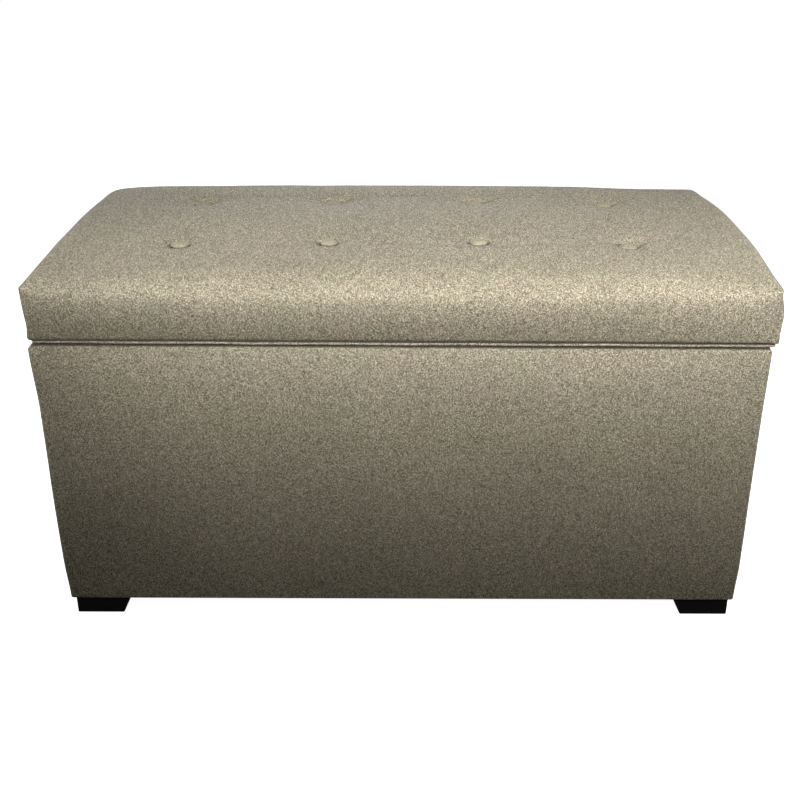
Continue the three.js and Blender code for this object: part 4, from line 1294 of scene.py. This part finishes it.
def make_hinge():
    """Two leaves with rolled knuckles by turns, on one pin, held by pan head screws."""
    make_hinge_leaf("hinge_body_leaf", "body", 0, False)
    make_hinge_leaf("hinge_lid_leaf", "lid", 1, True)
    low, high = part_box("hinge_pin")
    axis = middle("hinge_pin")
    profile = eased_rod(1.4 * MM, high.x - low.x, 0.3 * MM)
    pin = turned_piece("smooth_hinge_pin", profile, along_x(low.x, axis.y, axis.z), 20)
    finish_piece(pin, "steel", "body", "hinge_pin")
    head = 1.2 * MM
    for body, flip in (("body", True), ("lid", False)):
        for number in range(1, 5):
            node = f"hinge_{body}_screw_{number}"
            low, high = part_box(node)
            place = middle(node)
            matrix = upright(place.x, place.y, high.z - head if flip else low.z + head, flip)
            make_screw(node, body, 3.2 * MM, head, 1.5 * MM, 12 * MM, matrix)


def round_ended_bar(name, start, end, radius, low, high):
    """A bar with round ends along X, between two heights."""
    outline = arc((start, 0), radius, math.pi / 2, math.pi, 12)
    outline += arc((end, 0), radius, -math.pi / 2, math.pi, 12)
    count = len(outline)
    vertices = [(x, y, z) for z in (low, high) for x, y in outline]
    caps = [tuple(reversed(range(count))), tuple(range(count, 2 * count))]
    return new_object(name, vertices, caps + ring_faces(2, count))


def make_stays():
    """Each stay: a bracket under the lid, a slotted arm on its rivet, and a stud in the box's side."""
    half_width = 8 * MM
    for place, side in (("left", -1), ("right", 1)):
        rivet = middle(f"{place}_stay_rivet")
        stud = middle(f"{place}_stay_stud")
        low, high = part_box(f"{place}_stay_arm")
        thickness = high.x - low.x
        along = Vector((0, stud.y - rivet.y, stud.z - rivet.z)).normalized()
        length = (rivet.z - low.z - half_width) / -along.z
        arm = round_ended_bar(f"smooth_{place}_stay_arm", 0.0, length, half_width, 0.0, thickness)
        stud_place = (stud - rivet).dot(along)
        for first, last, radius in ((0.0, 1e-5, 2.9 * MM), (stud_place, length - 4 * MM, 3.4 * MM)):
            cut_out(arm, round_ended_bar("cutter", first, last, radius, -thickness, 2 * thickness))
        soften_edges(arm, 0.3 * MM, 2, math.radians(50))
        outwards = Vector((1, 0, 0))
        turn = Matrix((along, outwards.cross(along), outwards)).transposed().to_4x4()
        arm.data.transform(Matrix.Translation((low.x, rivet.y, rivet.z)) @ turn)
        finish_piece(arm, "steel", f"{place}_arm", f"{place}_stay_arm")
        make_stay_bracket(place, side, rivet)
        make_stay_pins(place, side, rivet, stud)


def make_stay_bracket(place, side, rivet):
    """A plate under the lid, with a round ear that hangs down to the rivet, and two screws."""
    node = f"{place}_stay_bracket"
    low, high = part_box(node)
    ease = 0.3 * MM
    ear = 2 * MM
    radius = 9 * MM
    ear_x = high.x - ear if side > 0 else low.x
    plate = box_piece("plate", (low.x, low.y, high.z - 1.5 * MM), high, 0.4 * MM)
    tab_high = (ear_x + ear, rivet.y + radius, high.z - 0.2 * MM)
    tab = box_piece("tab", (ear_x, rivet.y - radius, rivet.z), tab_high, ease)
    disc = turned_piece("disc", eased_rod(radius, ear, ease), along_x(ear_x, rivet.y, rivet.z), 40)
    finish_piece(join(f"smooth_{node}", [plate, tab, disc]), "steel", "lid", node)
    head = 1.6 * MM
    for number in (1, 2):
        screw = f"{place}_bracket_screw_{number}"
        spot = middle(screw)
        matrix = upright(spot.x, spot.y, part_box(screw)[0].z + head)
        make_screw(screw, "lid", 3.5 * MM, head, 1.8 * MM, 14 * MM, matrix)


def make_stay_pins(place, side, rivet, stud):
    """The rivet, with a low dome at each end, and the shouldered stud."""
    node = f"{place}_stay_rivet"
    low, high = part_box(node)
    dome = in_mm((0, 0), (2.4, 0.15), (4.0, 0.55), (4.8, 1.0), (5, 1.3), (2.5, 1.3))
    profile = dome + [(radius, high.x - low.x - height) for radius, height in reversed(dome)]
    pin = turned_piece(f"smooth_{node}", profile, along_x(low.x, rivet.y, rivet.z), 32)
    finish_piece(pin, "steel", "lid", node)
    node = f"{place}_stay_stud"
    low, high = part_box(node)
    head = in_mm((0, 0), (3.6, 0), (4.9, 0.3), (5.8, 1.0), (6, 2), (3, 2))
    shoulder = in_mm((3, 5.1), (6, 5.1), (6, 8.5), (3, 8.5), (3, 18.5))
    profile = head + shoulder + [(0, high.x - low.x)]
    turn = Matrix.Identity(4) if side > 0 else Matrix.Rotation(math.pi, 4, "Z")
    start = Matrix.Translation((low.x if side > 0 else high.x, stud.y, stud.z))
    pin = turned_piece(f"smooth_{node}", profile, start @ turn @ along_x(0, 0, 0), 32)
    finish_piece(pin, "steel", "body", node)


# ------------------------------------------------------------------ studio


def add_softbox(name, place, target, size, power, spread):
    light = bpy.data.lights.new(name, "AREA")
    light.shape = "RECTANGLE"
    light.size, light.size_y = size
    light.energy = power
    light.spread = math.radians(spread)
    box = link_object(name, light)
    box.visible_camera = False
    box.location = place
    box.rotation_euler = (Vector(target) - Vector(place)).to_track_quat("-Z", "Y").to_euler()


def make_studio():
    """A pale floor with far pale walls round it, a large key light in front and weak lights round."""
    far = 12.0
    plan = ((-far, -far), (far, -far), (far, far), (-far, far))
    corners = [(x, y, z) for z in (0, far) for x, y in plan]
    sides = [(n, 4 + n, 4 + (n + 1) % 4, (n + 1) % 4) for n in range(4)]
    floor = new_object("floor", corners, [(0, 1, 2, 3)] + sides, smooth=False)
    floor.location.z = -0.2 * MM
    paint(floor, floor_material())
    floor.visible_diffuse = False
    floor.visible_glossy = False

    world = bpy.data.worlds.new("studio")
    world.use_nodes = True
    background = world.node_tree.nodes["Background"]
    background.inputs["Color"].default_value = (1.0, 0.99, 0.97, 1)
    background.inputs["Strength"].default_value = 0.03
    scene.world = world

    add_softbox("key", (0.277, -0.68, 0.916), (0.297, 0.066, 0.797), (1.42, 0.71), 11.8, 115)
    for side, x, power in (("left", -0.52, 1.0), ("right", 0.5, 0.7)):
        add_softbox(f"{side}_overhead", (x, -0.3, 1.2), (x, -0.3, 0.5), (0.5, 0.4), power, 100)
    for side, x in (("left", -2.2), ("right", 2.2)):
        add_softbox(f"{side}_fill", (x, 0.6, 0.3), (0, 0.2, 0.25), (1.4, 0.5), 6, 90)
    add_softbox("back_fill", (-0.3, 2.4, 0.4), (0, 0, 0.25), (1.8, 0.6), 8, 100)
    scene.view_settings.view_transform = "Standard"


def make_camera():
    """The view from just above seat height in front, a little to the right of the middle."""
    look_down = math.radians(25.25)
    turn_left = math.radians(0.66)
    roll = math.radians(-0.19)
    data = bpy.data.cameras.new("camera")
    data.sensor_width = 36.0
    data.lens = 50.12
    camera = link_object("camera", data)
    camera.location = (0.0139, -1.4894 + MID_Y, 0.9253)
    aimed = Matrix.Rotation(turn_left, 4, "Z") @ Matrix.Rotation(math.pi / 2 - look_down, 4, "X")
    camera.rotation_euler = (aimed @ Matrix.Rotation(roll, 4, "Z")).to_euler()
    scene.camera = camera


finish_cad_nodes()
make_camera()
make_cushion()
make_seat_foam()
make_body_cover()
make_piping()
make_buttons()
make_feet()
make_storage_lining()
make_flat_sheet(
    "lid_cloth_lining", LID_LINING_LOW, LID_LINING_HIGH, "lid_lining", "lining", "lid"
)
make_flat_sheet(
    "spun_dust_cover", DUST_LOW, DUST_HIGH, "base_dust_cover", "dust_cover", "body"
)
make_hinge()
make_stays()
make_studio()
